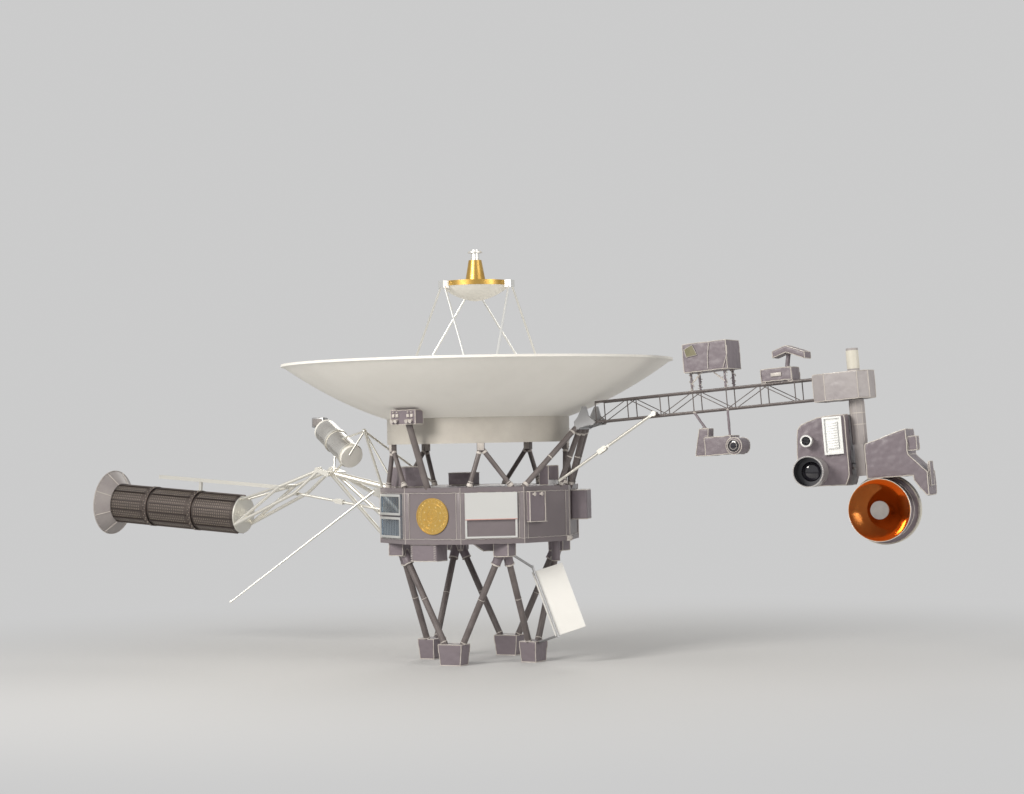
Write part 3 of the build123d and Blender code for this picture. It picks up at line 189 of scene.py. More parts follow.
class Groups:
    """Shader node groups that several finishes share."""

    @staticmethod
    def start(name: str, inputs: dict, outputs: dict) -> tuple:
        """Make a group with its sockets.

        Args:
            name: The group's name.
            inputs: Socket name to its type and first value.
            outputs: Socket name to its type.

        Returns:
            The group's graph, its input node and its output node.
        """
        group = bpy.data.node_groups.new(name, "ShaderNodeTree")
        for key, (kind, value) in inputs.items():
            socket = group.interface.new_socket(name=key, in_out="INPUT", socket_type=f"NodeSocket{kind}")
            if value is not None:
                socket.default_value = value
        for key, kind in outputs.items():
            group.interface.new_socket(name=key, in_out="OUTPUT", socket_type=f"NodeSocket{kind}")
        return Graph(group), group.nodes.new("NodeGroupInput"), group.nodes.new("NodeGroupOutput")

    @classmethod
    def mottle(cls) -> bpy.types.NodeTree:
        """Two colours that drift into each other, with a finer speckle.

        Returns:
            The group, made once.
        """
        if "mottle" in bpy.data.node_groups:
            return bpy.data.node_groups["mottle"]
        graph, start, end = cls.start(
            "mottle",
            {"First": ("Color", None), "Second": ("Color", None), "Scale": ("Float", 6.0),
             "Vector": ("Vector", None)},
            {"Color": "Color", "Mask": "Float"},
        )
        cloud = graph.node("TexNoise", {"Detail": 6.0, "Roughness": 0.62})
        spread = graph.node("MapRange", {"From Min": 0.36, "From Max": 0.66})
        mix = graph.node("Mix", data_type="RGBA")
        graph.link(
            (start, "Vector", cloud, "Vector"), (start, "Scale", cloud, "Scale"),
            (cloud, "Fac", spread, "Value"), (spread, "Result", mix, "Factor"),
            (start, "First", mix, "A"), (start, "Second", mix, "B"),
            (mix, "Result", end, "Color"), (spread, "Result", end, "Mask"),
        )
        return graph.tree

    @classmethod
    def crumple(cls) -> bpy.types.NodeTree:
        """Sharp random creases with a soft swell between them, as in foil.

        Returns:
            The group, made once.
        """
        if "crumple" in bpy.data.node_groups:
            return bpy.data.node_groups["crumple"]
        graph, start, end = cls.start(
            "crumple", {"Scale": ("Float", 9.0), "Vector": ("Vector", None)}, {"Height": "Float"})
        ridge = graph.node("TexNoise", {"Detail": 3.0, "Distortion": 0.8}, noise_type="RIDGED_MULTIFRACTAL")
        cell = graph.node("TexVoronoi", feature="DISTANCE_TO_EDGE")
        finer = graph.node("Math", {1: 1.7}, operation="MULTIPLY")
        crease = graph.node("Math", {1: 0.22}, operation="MINIMUM")
        total = graph.node("Math", operation="ADD")
        graph.link(
            (start, "Vector", ridge, "Vector"), (start, "Vector", cell, "Vector"),
            (start, "Scale", ridge, "Scale"), (start, "Scale", finer, 0),
            (finer, 0, cell, "Scale"), (cell, "Distance", crease, 0),
            (ridge, "Fac", total, 0), (crease, 0, total, 1), (total, 0, end, "Height"),
        )
        return graph.tree

    @classmethod
    def brushed(cls) -> bpy.types.NodeTree:
        """Fine marks that run one way, for rolled or turned metal.

        Returns:
            The group, made once.
        """
        if "brushed" in bpy.data.node_groups:
            return bpy.data.node_groups["brushed"]
        graph, start, end = cls.start(
            "brushed", {"Scale": ("Float", 60.0), "Vector": ("Vector", None)}, {"Height": "Float"})
        stretch = graph.node("Mapping", {"Scale": (1.0, 1.0, 0.08)})
        grain = graph.node("TexNoise", {"Detail": 4.0})
        graph.link(
            (start, "Vector", stretch, "Vector"), (stretch, "Vector", grain, "Vector"),
            (start, "Scale", grain, "Scale"), (grain, "Fac", end, "Height"),
        )
        return graph.tree


class Pattern(Enum):
    """The small relief of a finish."""

    CRUMPLE = "crumple"
    BRUSHED = "brushed"

    def group(self) -> bpy.types.NodeTree:
        """The node group that draws the relief."""
        return Groups.brushed() if self is Pattern.BRUSHED else Groups.crumple()


@dataclass(frozen=True)
class Finish:
    """One surface finish, with its colours, gloss and small relief."""

    name: str
    first: tuple
    second: tuple
    roughness: float = 0.5
    metallic: float = 0.0
    scale: float = 6.0
    relief_scale: float = 30.0
    relief: float = 0.15
    depth: float = 0.002
    coat: float = 0.0
    pattern: Pattern = Pattern.CRUMPLE

    def build(self) -> bpy.types.Material:
        """Make the material once and give it back.

        Returns:
            The material.
        """
        if self.name in bpy.data.materials:
            return bpy.data.materials[self.name]
        material = bpy.data.materials.new(self.name)
        material.use_nodes = True
        graph = Graph(material.node_tree)
        shader = graph.tree.nodes["Principled BSDF"]
        shader.inputs["Metallic"].default_value = self.metallic
        shader.inputs["Coat Weight"].default_value = self.coat
        place = graph.node("TexCoord")
        colours = {"First": (*self.first, 1), "Second": (*self.second, 1), "Scale": self.scale}
        tint = graph.node("Group", colours, node_tree=Groups.mottle())
        rough = graph.node("MapRange", {"To Min": max(0.03, self.roughness - 0.06),
                                        "To Max": min(1.0, self.roughness + 0.08)})
        relief = graph.node("Group", {"Scale": self.relief_scale}, node_tree=self.pattern.group())
        bump = graph.node("Bump", {"Strength": self.relief, "Distance": self.depth})
        graph.link(
            (place, "Object", tint, "Vector"), (tint, "Color", shader, "Base Color"),
            (tint, "Mask", rough, "Value"), (rough, "Result", shader, "Roughness"),
            (place, "Object", relief, "Vector"), (relief, "Height", bump, "Height"),
            (bump, "Normal", shader, "Normal"),
        )
        return material


BRUSHED = Pattern.BRUSHED
DISH_WHITE = Finish("dish_white", (0.90, 0.88, 0.83), (0.85, 0.83, 0.78), 0.62, scale=1.6, relief=0.03)
RING_CREAM = Finish("ring_cream", (0.52, 0.49, 0.44), (0.45, 0.42, 0.38), 0.45, scale=3.0, relief=0.04)
BLANKET = Finish("dark_blanket", (0.125, 0.108, 0.115), (0.150, 0.130, 0.138), 0.42, scale=2.2,
                 relief_scale=8.0, relief=0.45, depth=0.006, coat=0.15)
PALE_BLANKET = Finish("pale_blanket", (0.33, 0.30, 0.31), (0.40, 0.37, 0.37), 0.42, scale=2.2,
                      relief_scale=9.0, relief=0.4, depth=0.005, coat=0.1)
BAY_BLANKET = Finish("bay_blanket", (0.170, 0.145, 0.155), (0.195, 0.168, 0.178), 0.36, scale=1.6,
                     relief_scale=4.5, relief=0.22, depth=0.005, coat=0.2)
STRUT_WRAP = Finish("strut_wrap", (0.120, 0.100, 0.098), (0.165, 0.142, 0.138), 0.45, scale=9.0,
                    relief_scale=24.0, relief=0.35, depth=0.003, coat=0.1)
TAPE = Finish("seam_tape", (0.62, 0.58, 0.53), (0.50, 0.46, 0.42), 0.35, scale=20.0, relief=0.2)
SEAM_PALE = Finish("seam_pale", (0.62, 0.58, 0.54), (0.50, 0.46, 0.43), 0.4, scale=14.0, relief=0.1)
# lighter grey of the bands beside the body's corners: painted highlight where the blanket rounds over each
# corner
CORNER_HIGHLIGHT_GREY = Finish("corner_highlight_grey", (0.20, 0.175, 0.185), (0.24, 0.21, 0.22), 0.4, scale=5.0, relief=0.2)
FRAME_METAL = Finish("frame_metal", (0.20, 0.19, 0.19), (0.27, 0.26, 0.25), 0.38, 0.7, 12.0, relief=0.08,
                     pattern=BRUSHED)
CREAM_TUBE = Finish("cream_tube", (0.66, 0.61, 0.53), (0.56, 0.51, 0.44), 0.42, scale=8.0, relief=0.05)
WHITE_PLATE = Finish("white_plate", (0.78, 0.76, 0.71), (0.70, 0.68, 0.64), 0.4, scale=4.0, relief=0.04)
GOLD = Finish("gold_finish", (0.62, 0.40, 0.11), (0.48, 0.29, 0.07), 0.34, 0.85, 7.0, relief=0.1,
              pattern=BRUSHED)
GOLD_PALE = Finish("gold_pale", (0.80, 0.64, 0.30), (0.70, 0.54, 0.24), 0.3, 0.85, 9.0, relief=0.05)
SALMON = Finish("salmon_edge", (0.62, 0.36, 0.32), (0.54, 0.30, 0.27), 0.45, scale=12.0, relief=0.05)
LOUVRE_BLADE = Finish("louvre_blade", (0.66, 0.76, 0.83), (0.54, 0.65, 0.72), 0.38, scale=14.0, relief=0.05,
                      pattern=BRUSHED)
COPPER_MIRROR = Finish("copper_mirror", (0.86, 0.34, 0.10), (0.74, 0.25, 0.06), 0.09, 1.0, 3.0, relief=0.02)
LENS_BLACK = Finish("lens_black", (0.018, 0.017, 0.018), (0.03, 0.028, 0.03), 0.3, scale=12.0, relief=0.04)
LENS_GLASS = Finish("lens_glass", (0.012, 0.010, 0.016), (0.016, 0.014, 0.022), 0.06, relief=0.0, coat=1.0)
OLIVE_PANE = Finish("olive_pane", (0.16, 0.15, 0.08), (0.20, 0.18, 0.10), 0.25, scale=5.0, relief=0.05,
                    coat=0.4)
POWER_DARK = Finish("power_dark", (0.085, 0.064, 0.055), (0.125, 0.095, 0.082), 0.5, 0.3, relief=0.1)
POWER_LIP = Finish("power_lip", (0.110, 0.085, 0.075), (0.150, 0.118, 0.104), 0.4, 0.4, 9.0, relief=0.06)
DOT_TAN = Finish("dot_tan", (0.52, 0.44, 0.36), (0.44, 0.37, 0.30), 0.45, scale=9.0, relief=0.02)
FOIL = Finish("canister_foil", (0.70, 0.68, 0.64), (0.52, 0.50, 0.47), 0.25, 0.85, relief_scale=12.0,
              relief=0.4, depth=0.004)
DRUM_CREAM = Finish("drum_cream", (0.72, 0.69, 0.60), (0.64, 0.61, 0.53), 0.45, scale=5.0, relief=0.04)
PANEL_PALE = Finish("panel_pale", (0.88, 0.87, 0.84), (0.84, 0.83, 0.80), 0.6, scale=2.5, relief=0.03)
CAP_GREY = Finish("cap_grey", (0.22, 0.20, 0.20), (0.28, 0.26, 0.25), 0.5, scale=8.0, relief=0.05)
SHIELD_GREY = Finish("shield_grey", (0.30, 0.27, 0.27), (0.36, 0.33, 0.32), 0.45, scale=5.0, relief=0.08)
TUBE_PALE = Finish("tube_pale", (0.36, 0.33, 0.33), (0.42, 0.39, 0.38), 0.45, scale=8.0, relief=0.08)
BARREL_SILVER = Finish("barrel_silver", (0.42, 0.40, 0.40), (0.50, 0.48, 0.47), 0.3, 0.6, 8.0, relief=0.05,
                       pattern=BRUSHED)

SLOT_FINISH = {
    "white_paint": DISH_WHITE,
    "cream_ring": RING_CREAM,
    "frame_metal": FRAME_METAL,
    "bay_cover": BAY_BLANKET,
    "dark_blanket": BLANKET,
    "dark_tube": STRUT_WRAP,
    "cream_tube": CREAM_TUBE,
    "gold_metal": GOLD,
    "louvre_blade": LOUVRE_BLADE,
    "white_plate": WHITE_PLATE,
    "mirror_copper": COPPER_MIRROR,
    "lens_black": LENS_BLACK,
    "power_dark": POWER_DARK,
    "grey_panel": PANEL_PALE,
}

NODE_FINISH = {
    "bus_frame": BAY_BLANKET,
    "telescope_cap": CAP_GREY,
    "end_shield": SHIELD_GREY,
    "science_brace_near": CREAM_TUBE,
    "science_brace_far": CREAM_TUBE,
    "gimbal": TUBE_PALE,
    "camera_lenses": BARREL_SILVER,
}


class Bench:
    """Small jobs of modelling that every sub-assembly uses, with sizes in millimetres."""

    @staticmethod
    def deselect() -> None:
        """Leave nothing selected."""
        if bpy.context.mode != "OBJECT":
            bpy.ops.object.mode_set(mode="OBJECT")
        bpy.ops.object.select_all(action="DESELECT")

    @classmethod
    def only(cls, *objects: Shape) -> None:
        """Select these objects alone, the first of them active.

        Args:
            objects: What is selected.
        """
        cls.deselect()
        for item in objects:
            item.select_set(True)
        bpy.context.view_layer.objects.active = objects[0]

    @classmethod
    def settle(cls, item: Shape) -> Shape:
        """Put a shape's place in its mesh.

        Args:
            item: The shape.

        Returns:
            The same shape.
        """
        cls.only(item)
        bpy.ops.object.transform_apply(location=True, rotation=True, scale=True)
        return item

    @classmethod
    def modify(cls, item: Shape, **modifiers: dict) -> Shape:
        """Add modifiers by kind with their settings, and apply them in order.

        Args:
            item: The shape.
            modifiers: Settings by the kind of modifier.

        Returns:
            The same shape.
        """
        for kind, facts in modifiers.items():
            modifier = item.modifiers.new(kind, kind)
            for key, value in facts.items():
                setattr(modifier, key, value)
        cls.only(item)
        for modifier in list(item.modifiers):
            bpy.ops.object.modifier_apply(modifier=modifier.name)
        return item

    @classmethod
    def join(cls, items: Sequence[Shape], name: str) -> Shape:
        """Make several objects one piece.

        Args:
            items: The objects, the first of them kept.
            name: Name of the piece and of its mesh.

        Returns:
            The joined piece.
        """
        cls.only(*items)
        if len(items) > 1:
            bpy.ops.object.join()
        item = cls.settle(bpy.context.view_layer.objects.active)
        item.name = name
        item.data.name = name
        return item

    @staticmethod
    def linked(name: str, data: bpy.types.ID) -> Shape:
        """Object of a mesh, curve, camera or lamp, in the scene.

        Args:
            name: The object's name.
            data: What it shows.

        Returns:
            The new object.
        """
        item = bpy.data.objects.new(name, data)
        bpy.context.scene.collection.objects.link(item)
        return item

    @classmethod
    def twin(cls, item: Shape) -> Shape:
        """Copy of an object with its own mesh.

        Args:
            item: The object to copy.

        Returns:
            The copy.
        """
        twin = item.copy()
        twin.data = item.data.copy()
        bpy.context.scene.collection.objects.link(twin)
        return twin

    @classmethod
    def bar(cls, start: Vector, end: Vector, radius: float, tip: float, sides: int) -> Shape:
        """Round bar between two points, tapered to a tip radius.

        Args:
            start: Middle of the first end.
            end: Middle of the other end.
            radius: Radius at the first end.
            tip: Radius at the other end.
            sides: Number of sides.

        Returns:
            The new shape.
        """
        cls.deselect()
        span = end - start
        bpy.ops.mesh.primitive_cone_add(
            vertices=sides, radius1=radius * MM, radius2=tip * MM, depth=span.length,
            location=(start + end) / 2, rotation=span.to_track_quat("Z", "Y").to_euler())
        return bpy.context.active_object

    @classmethod
    def slab(cls, axes: Axes, low: Point, high: Point, bevel: float = 1.0) -> Shape:
        """Box between two local corners, its edges rounded by a bevel.

        Args:
            axes: Axes that the box stands on.
            low: Its lowest corner.
            high: Its highest corner.
            bevel: Width of the rounding.

        Returns:
            The new shape.
        """
        cls.deselect()
        bpy.ops.mesh.primitive_cube_add(size=1)
        item = bpy.context.active_object
        middle = [(a + b) / 2 for a, b in zip(low, high)]
        size = [abs(b - a) * MM for a, b in zip(low, high)]
        item.matrix_world = axes.matrix(middle) @ Matrix.Diagonal((*size, 1))
        return cls.modify(cls.settle(item), BEVEL={"width": bevel * MM, "segments": 2})

    @classmethod
    def band(cls, start: Vector, end: Vector, radius: float, wall: float, sides: int) -> Shape:
        """Open ring of sheet around an axis, its wall outside its radius.

        Args:
            start: Middle of one edge.
            end: Middle of the other edge.
            radius: Inner radius.
            wall: Thickness of the sheet.
            sides: Number of sides.

        Returns:
            The new shape.
        """
        cls.deselect()
        span = end - start
        bpy.ops.mesh.primitive_cylinder_add(
            vertices=sides, radius=radius * MM, depth=span.length, end_fill_type="NOTHING",
            location=(start + end) / 2, rotation=span.to_track_quat("Z", "Y").to_euler())
        edge = min(wall, span.length / MM) * 0.25 * MM
        return cls.modify(bpy.context.active_object, SOLIDIFY={"thickness": wall * MM, "offset": 1.0},
                          BEVEL={"width": edge})

    @classmethod
    def wire(cls, runs: Sequence[Sequence[Vector]], radius: float) -> Shape:
        """Round wires along runs of points, as one mesh.

        Args:
            runs: The points of each wire.
            radius: The wires' radius.

        Returns:
            The new shape.
        """
        cls.deselect()
        data = bpy.data.curves.new("wire", "CURVE")
        data.dimensions = "3D"
        data.bevel_depth = radius * MM
        data.bevel_resolution = 1
        data.use_fill_caps = True
        for run in runs:
            spline = data.splines.new("POLY")
            spline.points.add(len(run) - 1)
            for point, place in zip(spline.points, run):
                point.co = (*place, 1)
        cls.only(cls.linked("wire", data))
        bpy.ops.object.convert(target="MESH")
        return bpy.context.active_object

    @classmethod
    def stud(cls, radius: float, height: float, sides: int = 8) -> Shape:
        """Low stud that stands on the origin, its top drawn in.

        Args:
            radius: Radius at the foot.
            height: Height over the foot.
            sides: Number of sides.

        Returns:
            The new shape.
        """
        cls.deselect()
        bpy.ops.mesh.primitive_cone_add(
            vertices=sides, radius1=radius * MM, radius2=radius * 0.72 * MM, depth=height * MM,
            location=(0, 0, height * MM / 2))
        return cls.settle(bpy.context.active_object)

    @classmethod
    def scatter(cls, model: Shape, turns: Iterable[Matrix]) -> list:
        """Copies of a model, each with its own mesh, and the model taken away.

        Args:
            model: The shape to copy.
            turns: Where each copy goes.

        Returns:
            The copies.
        """
        copies = []
        for turn in turns:
            twin = cls.twin(model)
            twin.data.transform(turn)
            copies.append(twin)
        bpy.data.objects.remove(model)
        return copies

    @classmethod
    def studs(cls, places: Iterable[tuple], radius: float, height: float) -> list:
        """Studs at points, each turned to its outward direction."""
        return cls.scatter(cls.stud(radius, height), [aimed(place, out) for place, out in places])

    @classmethod
    def stretch(cls, value: Point) -> Shape:
        """Resize the active mesh in edit mode.

        Args:
            value: Share along each axis.

        Returns:
            The same shape.
        """
        bpy.ops.object.mode_set(mode="EDIT")
        bpy.ops.mesh.select_all(action="SELECT")
        bpy.ops.transform.resize(value=value)
        bpy.ops.object.mode_set(mode="OBJECT")
        return bpy.context.active_object

    @classmethod
    def dome(cls, place: Vector, normal: Vector, radius: float, height: float) -> Shape:
        """Shallow lens on a place.

        Args:
            place: Middle of its foot.
            normal: Direction that it bulges in.
            radius: Radius of its foot.
            height: Height over its foot.

        Returns:
            The new shape.
        """
        cls.deselect()
        bpy.ops.mesh.primitive_uv_sphere_add(segments=40, ring_count=16, radius=radius * MM)
        item = cls.stretch((1, 1, height / radius))
        item.matrix_world = aimed(place, normal)
        return cls.settle(item)

    @classmethod
    def tablet(cls, points: Sequence[Vector], normal: Vector, thickness: float) -> Shape:
        """Flat plate with straight sides, given thickness along its normal.

        Args:
            points: Its corners in order.
            normal: Direction that it is thickened in.
            thickness: Thickness of the plate.

        Returns:
            The new shape.
        """
        cls.deselect()
        data = bpy.data.meshes.new("tablet")
        data.from_pydata([tuple(point) for point in points], [], [list(range(len(points)))])
        offset = -1.0 if data.polygons[0].normal.dot(normal) < 0 else 1.0
        return cls.modify(cls.linked("tablet", data),
                          SOLIDIFY={"thickness": thickness * MM, "offset": offset},
                          BEVEL={"width": thickness * 0.3 * MM})

    @classmethod
    def knot(cls, radius: float) -> Shape:
        """Small tied knot around the origin, longer than it is wide.

        Args:
            radius: Half of its length.

        Returns:
            The new shape.
        """
        cls.deselect()
        bpy.ops.mesh.primitive_ico_sphere_add(subdivisions=1, radius=radius * MM)
        return cls.stretch((1, 0.7, 0.8))

    @classmethod
    def solids_of(cls, node: Shape) -> list:
        """Closed copies of the separate solids of a CAD node.

        Args:
            node: The CAD node.

        Returns:
            The copies.
        """
        item = cls.twin(node)
        item.data.materials.clear()
        for key in list(item.keys()):
            del item[key]
        item.parent = None
        item.matrix_world = Matrix.Identity(4)
        cls.only(item)
        bpy.ops.object.mode_set(mode="EDIT")
        bpy.ops.mesh.select_all(action="SELECT")
        bpy.ops.mesh.remove_doubles(threshold=0.00002)
        bpy.ops.object.mode_set(mode="OBJECT")
        bpy.ops.mesh.separate(type="LOOSE")
        return list(bpy.context.selected_objects) or [item]

    @staticmethod
    def dress(item: Shape, finish: Finish) -> None:
        """Give every face of an object one finish."""
        item.data.materials.clear()
        item.data.materials.append(finish.build())

    @classmethod
    def smooth(cls, item: Shape, degrees: float) -> None:
        """Smooth a piece's shading up to an angle."""
        cls.only(item)
        bpy.ops.object.shade_smooth_by_angle(angle=math.radians(degrees))

    @classmethod
    def piece(cls, name: str, body: str, slot: str, finish: Finish, *shapes: Shape) -> None:
        """Join shapes to a piece, dress it and hang it on its body.

        Args:
            name: The piece's name.
            body: The body that it moves with.
            slot: Not used.
            finish: Its finish.
            shapes: What it is made of.
        """
        item = cls.join(shapes, name)
        cls.smooth(item, 35)
        cls.dress(item, finish)
        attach(item, body)
        LOG.info("made %s", name)


@dataclass
class Blanket:
    """A thermal blanket wrapped and taped over a CAD solid, in metres."""

    voxel: float
    swell: float
    crease: float
    tape_radius: float = 0.004
    finish: Finish = BLANKET
    swell_scale: float = 0.16
    crease_scale: float = 0.05

    def cover(self, solid: Shape) -> Shape:
        """Turn a closed solid into a puckered blanket of its size.

        Args:
            solid: The closed solid.

        Returns:
            The same object, covered.
        """
        remesh = solid.modifiers.new("cover", "REMESH")
        remesh.mode = "VOXEL"
        remesh.voxel_size = self.voxel
        for label, kind, scale, strength in (
            ("swell", "CLOUDS", self.swell_scale, self.swell),
            ("crease", "VORONOI", self.crease_scale, -self.crease),
        ):
            texture = bpy.data.textures.get(label) or bpy.data.textures.new(label, kind)
            texture.noise_scale = scale
            push = solid.modifiers.new(label, "DISPLACE")
            push.texture = texture
            push.texture_coords = "LOCAL"
            push.strength = strength
            push.mid_level = 0.5
        Bench.modify(solid)
        Bench.smooth(solid, 60)
        Bench.dress(solid, self.finish)
        return solid

    def seams(self, solid: Shape, cover: Shape) -> Optional[Shape]:
        """Tape along the sharp edges of a solid.

        Args:
            solid: The closed solid before it was covered.
            cover: The finished blanket that the tape lies on.

        Returns:
            The tape as one mesh, or None where the solid has no sharp edge.
        """
        Bench.only(solid)
        bpy.ops.object.mode_set(mode="EDIT")
        bpy.ops.mesh.select_all(action="SELECT")
        bpy.ops.mesh.dissolve_limited(angle_limit=math.radians(8))
        bpy.ops.mesh.select_all(action="DESELECT")
        bpy.ops.mesh.select_mode(type="EDGE")
        bpy.ops.mesh.edges_select_sharp(sharpness=math.radians(25))
        bpy.ops.object.mode_set(mode="OBJECT")
        if not any(edge.select for edge in solid.data.edges):
            bpy.data.objects.remove(solid)
            return None
        bpy.ops.object.mode_set(mode="EDIT")
        bpy.ops.mesh.select_all(action="INVERT")
        bpy.ops.mesh.delete(type="EDGE_FACE")
        bpy.ops.mesh.select_all(action="SELECT")
        bpy.ops.mesh.delete(type="ONLY_FACE")
        bpy.ops.mesh.select_all(action="SELECT")
        bpy.ops.mesh.subdivide(number_cuts=7)
        bpy.ops.object.mode_set(mode="OBJECT")
        Bench.modify(solid, SHRINKWRAP={"target": cover, "offset": self.tape_radius * 0.3})
        bpy.ops.object.convert(target="CURVE")
        solid.data.bevel_depth = self.tape_radius
        solid.data.bevel_resolution = 1
        solid.data.use_fill_caps = True
        bpy.ops.object.convert(target="MESH")
        Bench.dress(solid, TAPE)
        return solid

    def wrap(self, name: str, body: str, node: Shape) -> None:
        """Replace a CAD node by its blankets and their tape.

        Args:
            name: The CAD node's name.
            body: The body that it moves with.
            node: The CAD node.
        """
        plain = Bench.solids_of(node)
        covers = [self.cover(Bench.twin(solid)) for solid in plain]
        tapes = [self.seams(solid, cover) for solid, cover in zip(plain, covers)]
        tapes = [tape for tape in tapes if tape]
        skin = Bench.join(covers, f"{name}_blanket")
        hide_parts(name)
        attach(skin, body)
        if tapes:
            tape = Bench.join(tapes, f"{name}_tape")
            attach(tape, body)
        LOG.info("wrapped %s", name)


@dataclass
class Body:
    """Ten-sided body with its seams, louvres, disc, plates and boxes, in millimetres."""

    flats: float = 1780.0
    cover_sink: float = 3.0
    bay_floor: float = 1160.0
    bay_height: float = 430.0
    cover_half: float = 285.2
    post_length: float = 510.0
    louvre_half: float = 230.2
    louvre_bar: float = 22.0
    louvre_feet: tuple = (14.0, 222.0)
    louvre_height: float = 192.0
    louvre_out: float = 26.0
    plate: tuple = (-250.2, 225.2, 180.0)
    plate_out: float = 22.0
    rivet_rows: tuple = (198.0, 414.0)
    box: tuple = (-258.2, -60.2, 150.0, 424.0)
    box_out: float = 46.0
    under_box: tuple = (-246.0, -6.0)
    under_box_front: float = -875.0
    disc_out: float = 9.0
    disc_rings: tuple = ((150.0, 2.6), (119.0, 1.8), (112.0, 1.2), (64.0, 1.8), (58.0, 1.0), (24.0, 1.6))
    disc_bosses: tuple = ((8, 20, 88, 9.0), (6, 0, 40, 4.0))
    seed: int = 11

    def face(self, bearing: float) -> Axes:
        """Axes at the foot of a bay's cover, on its outer face: across, inwards, up."""
        return bay(bearing, self.flats / 2 - self.cover_sink, self.bay_floor)

    def build(self) -> None:
        """Make every piece that stands on the body."""
        self.seams()
        self.louvres()
        self.disc_marks()
        self.plate_trim()
        self.box_trim()
        self.stitches()

    def seams(self) -> None:
        """Painted highlight bands beside the corners, where the blanket rounds over them, and slightly ragged
        tape along the covers' edges.
        """
        draw = random.Random(self.seed)
        half, top = self.cover_half, self.bay_height
        bands, runs, edges = [], [], []
        for k in range(10):
            face = self.face(36 * k)
            for side in (-1, 1):
                x = side * (half - 20)
                # a band a little lighter than the cover beside each corner: painted highlight of the blanket
                # rounding over it
                bands.append(Bench.slab(face, (x - 17, -4.2, 5), (x + 17, -2.0, top - 5)))
                heights = [5 + (top - 10) * n / 12 for n in range(13)]
                runs.append([face.mm(x - side * 21 + draw.uniform(-1, 1), -4, z) for z in heights])
            for z in (7, top - 7):
                steps = [half * (n / 14 - 1) for n in range(29)]
                runs.append([face.mm(x, -4, z + draw.uniform(-3, 3)) for x in steps])
        Bench.piece("corner_highlight_bands", "probe", "bay_cover", CORNER_HIGHLIGHT_GREY, *bands)
        corner = self.flats / 2 / math.cos(math.radians(18)) + 0.5
        for k in range(10):
            post = bay(18 + 36 * k, corner, self.bay_floor - 40)
            edges.append([post.mm(0, draw.uniform(-1, 1), self.post_length * n / 8) for n in range(9)])
        Bench.piece("body_seams", "probe", "white_plate", SEAM_PALE,
                    Bench.wire(runs, 2.0), Bench.wire(edges, 2.4))

    def louvres(self) -> None:
        """White faces of the louvres' frames, the studs under them and the backs behind the blades."""
        face = self.face(-36)
        bar, outer, inner = self.louvre_bar, self.louvre_half, self.louvre_half - self.louvre_bar
        near, far = -self.louvre_out - 1.6, -self.louvre_out + 0.5
        frames, backs = [], []
        for foot in self.louvre_feet:
            head = foot + self.louvre_height
            for left, right, low, high in ((-outer, -inner, foot, head), (inner, outer, foot, head),
                                           (-inner, inner, foot, foot + bar),
                                           (-inner, inner, head - bar, head)):
                frames.append(Bench.slab(face, (left, near, low), (right, far, high), 0.6))
        places = [(face.mm(-205 + 27 * n, -0.5, 4), -face.y) for n in range(16)]
        Bench.piece("louvre_frames", "probe", "white_plate", WHITE_PLATE,
                    *frames, *Bench.studs(places, 4.5, 5.0))
        for foot in self.louvre_feet:
            low, high = foot + bar - 1, foot + self.louvre_height - bar + 1
            backs.append(Bench.slab(face, (-inner - 1, -11.5, low), (inner + 1, -1.5, high), 0.6))
        Bench.piece("louvre_backs", "probe", "louvre_blade", LOUVRE_BLADE, *backs)

    def disc_marks(self) -> None:
        """Plain rings, ticks and bosses on the disc's face."""
        foot, out = self.face(0), self.disc_out
        centre = Axes(foot.mm(0, 0, self.bay_height / 2), foot.x, foot.y, foot.z)
        marks = [Bench.band(centre.mm(0, 1 - out, 0), centre.mm(0, -out - 1.6, 0), radius, wall, 72)
                 for radius, wall in self.disc_rings]
        for n in range(24):
            inner = 126 if n % 3 else 120
            low, high = (inner, -out - 1.4, -1.3), (145, 1 - out, 1.3)
            marks.append(Bench.slab(centre.turned(15 * n), low, high, 0.4))
        for count, first, radius, size in self.disc_bosses:
            turns = [360 / count * n + first for n in range(count)]
            places = [(centre.turned(turn).mm(radius, 0.5 - out, 0), -centre.y) for turn in turns]
            marks += Bench.studs(places, size, 2.0)
        Bench.piece("disc_rings", "probe", "gold_metal", GOLD_PALE, *marks)

    def plate_trim(self) -> None:
        """Coloured edge along the foot of the white plate, and a row of rivets at its foot and its head."""
        face, out = self.face(36), self.plate_out
        left, right, low = self.plate
        edge = Bench.slab(face, (left, -out - 1.0, low - 1), (right, 1.5 - out, low + 7), 0.8)
        Bench.piece("plate_edge", "probe", "white_plate", SALMON, edge)
        places = [(face.mm(left + 14 + (right - left - 28) * n / 11, 0.5 - out, z), -face.y)
                  for n in range(12) for z in self.rivet_rows]
        Bench.piece("plate_rivets", "probe", "white_plate", WHITE_PLATE, *Bench.studs(places, 3.2, 2.2))

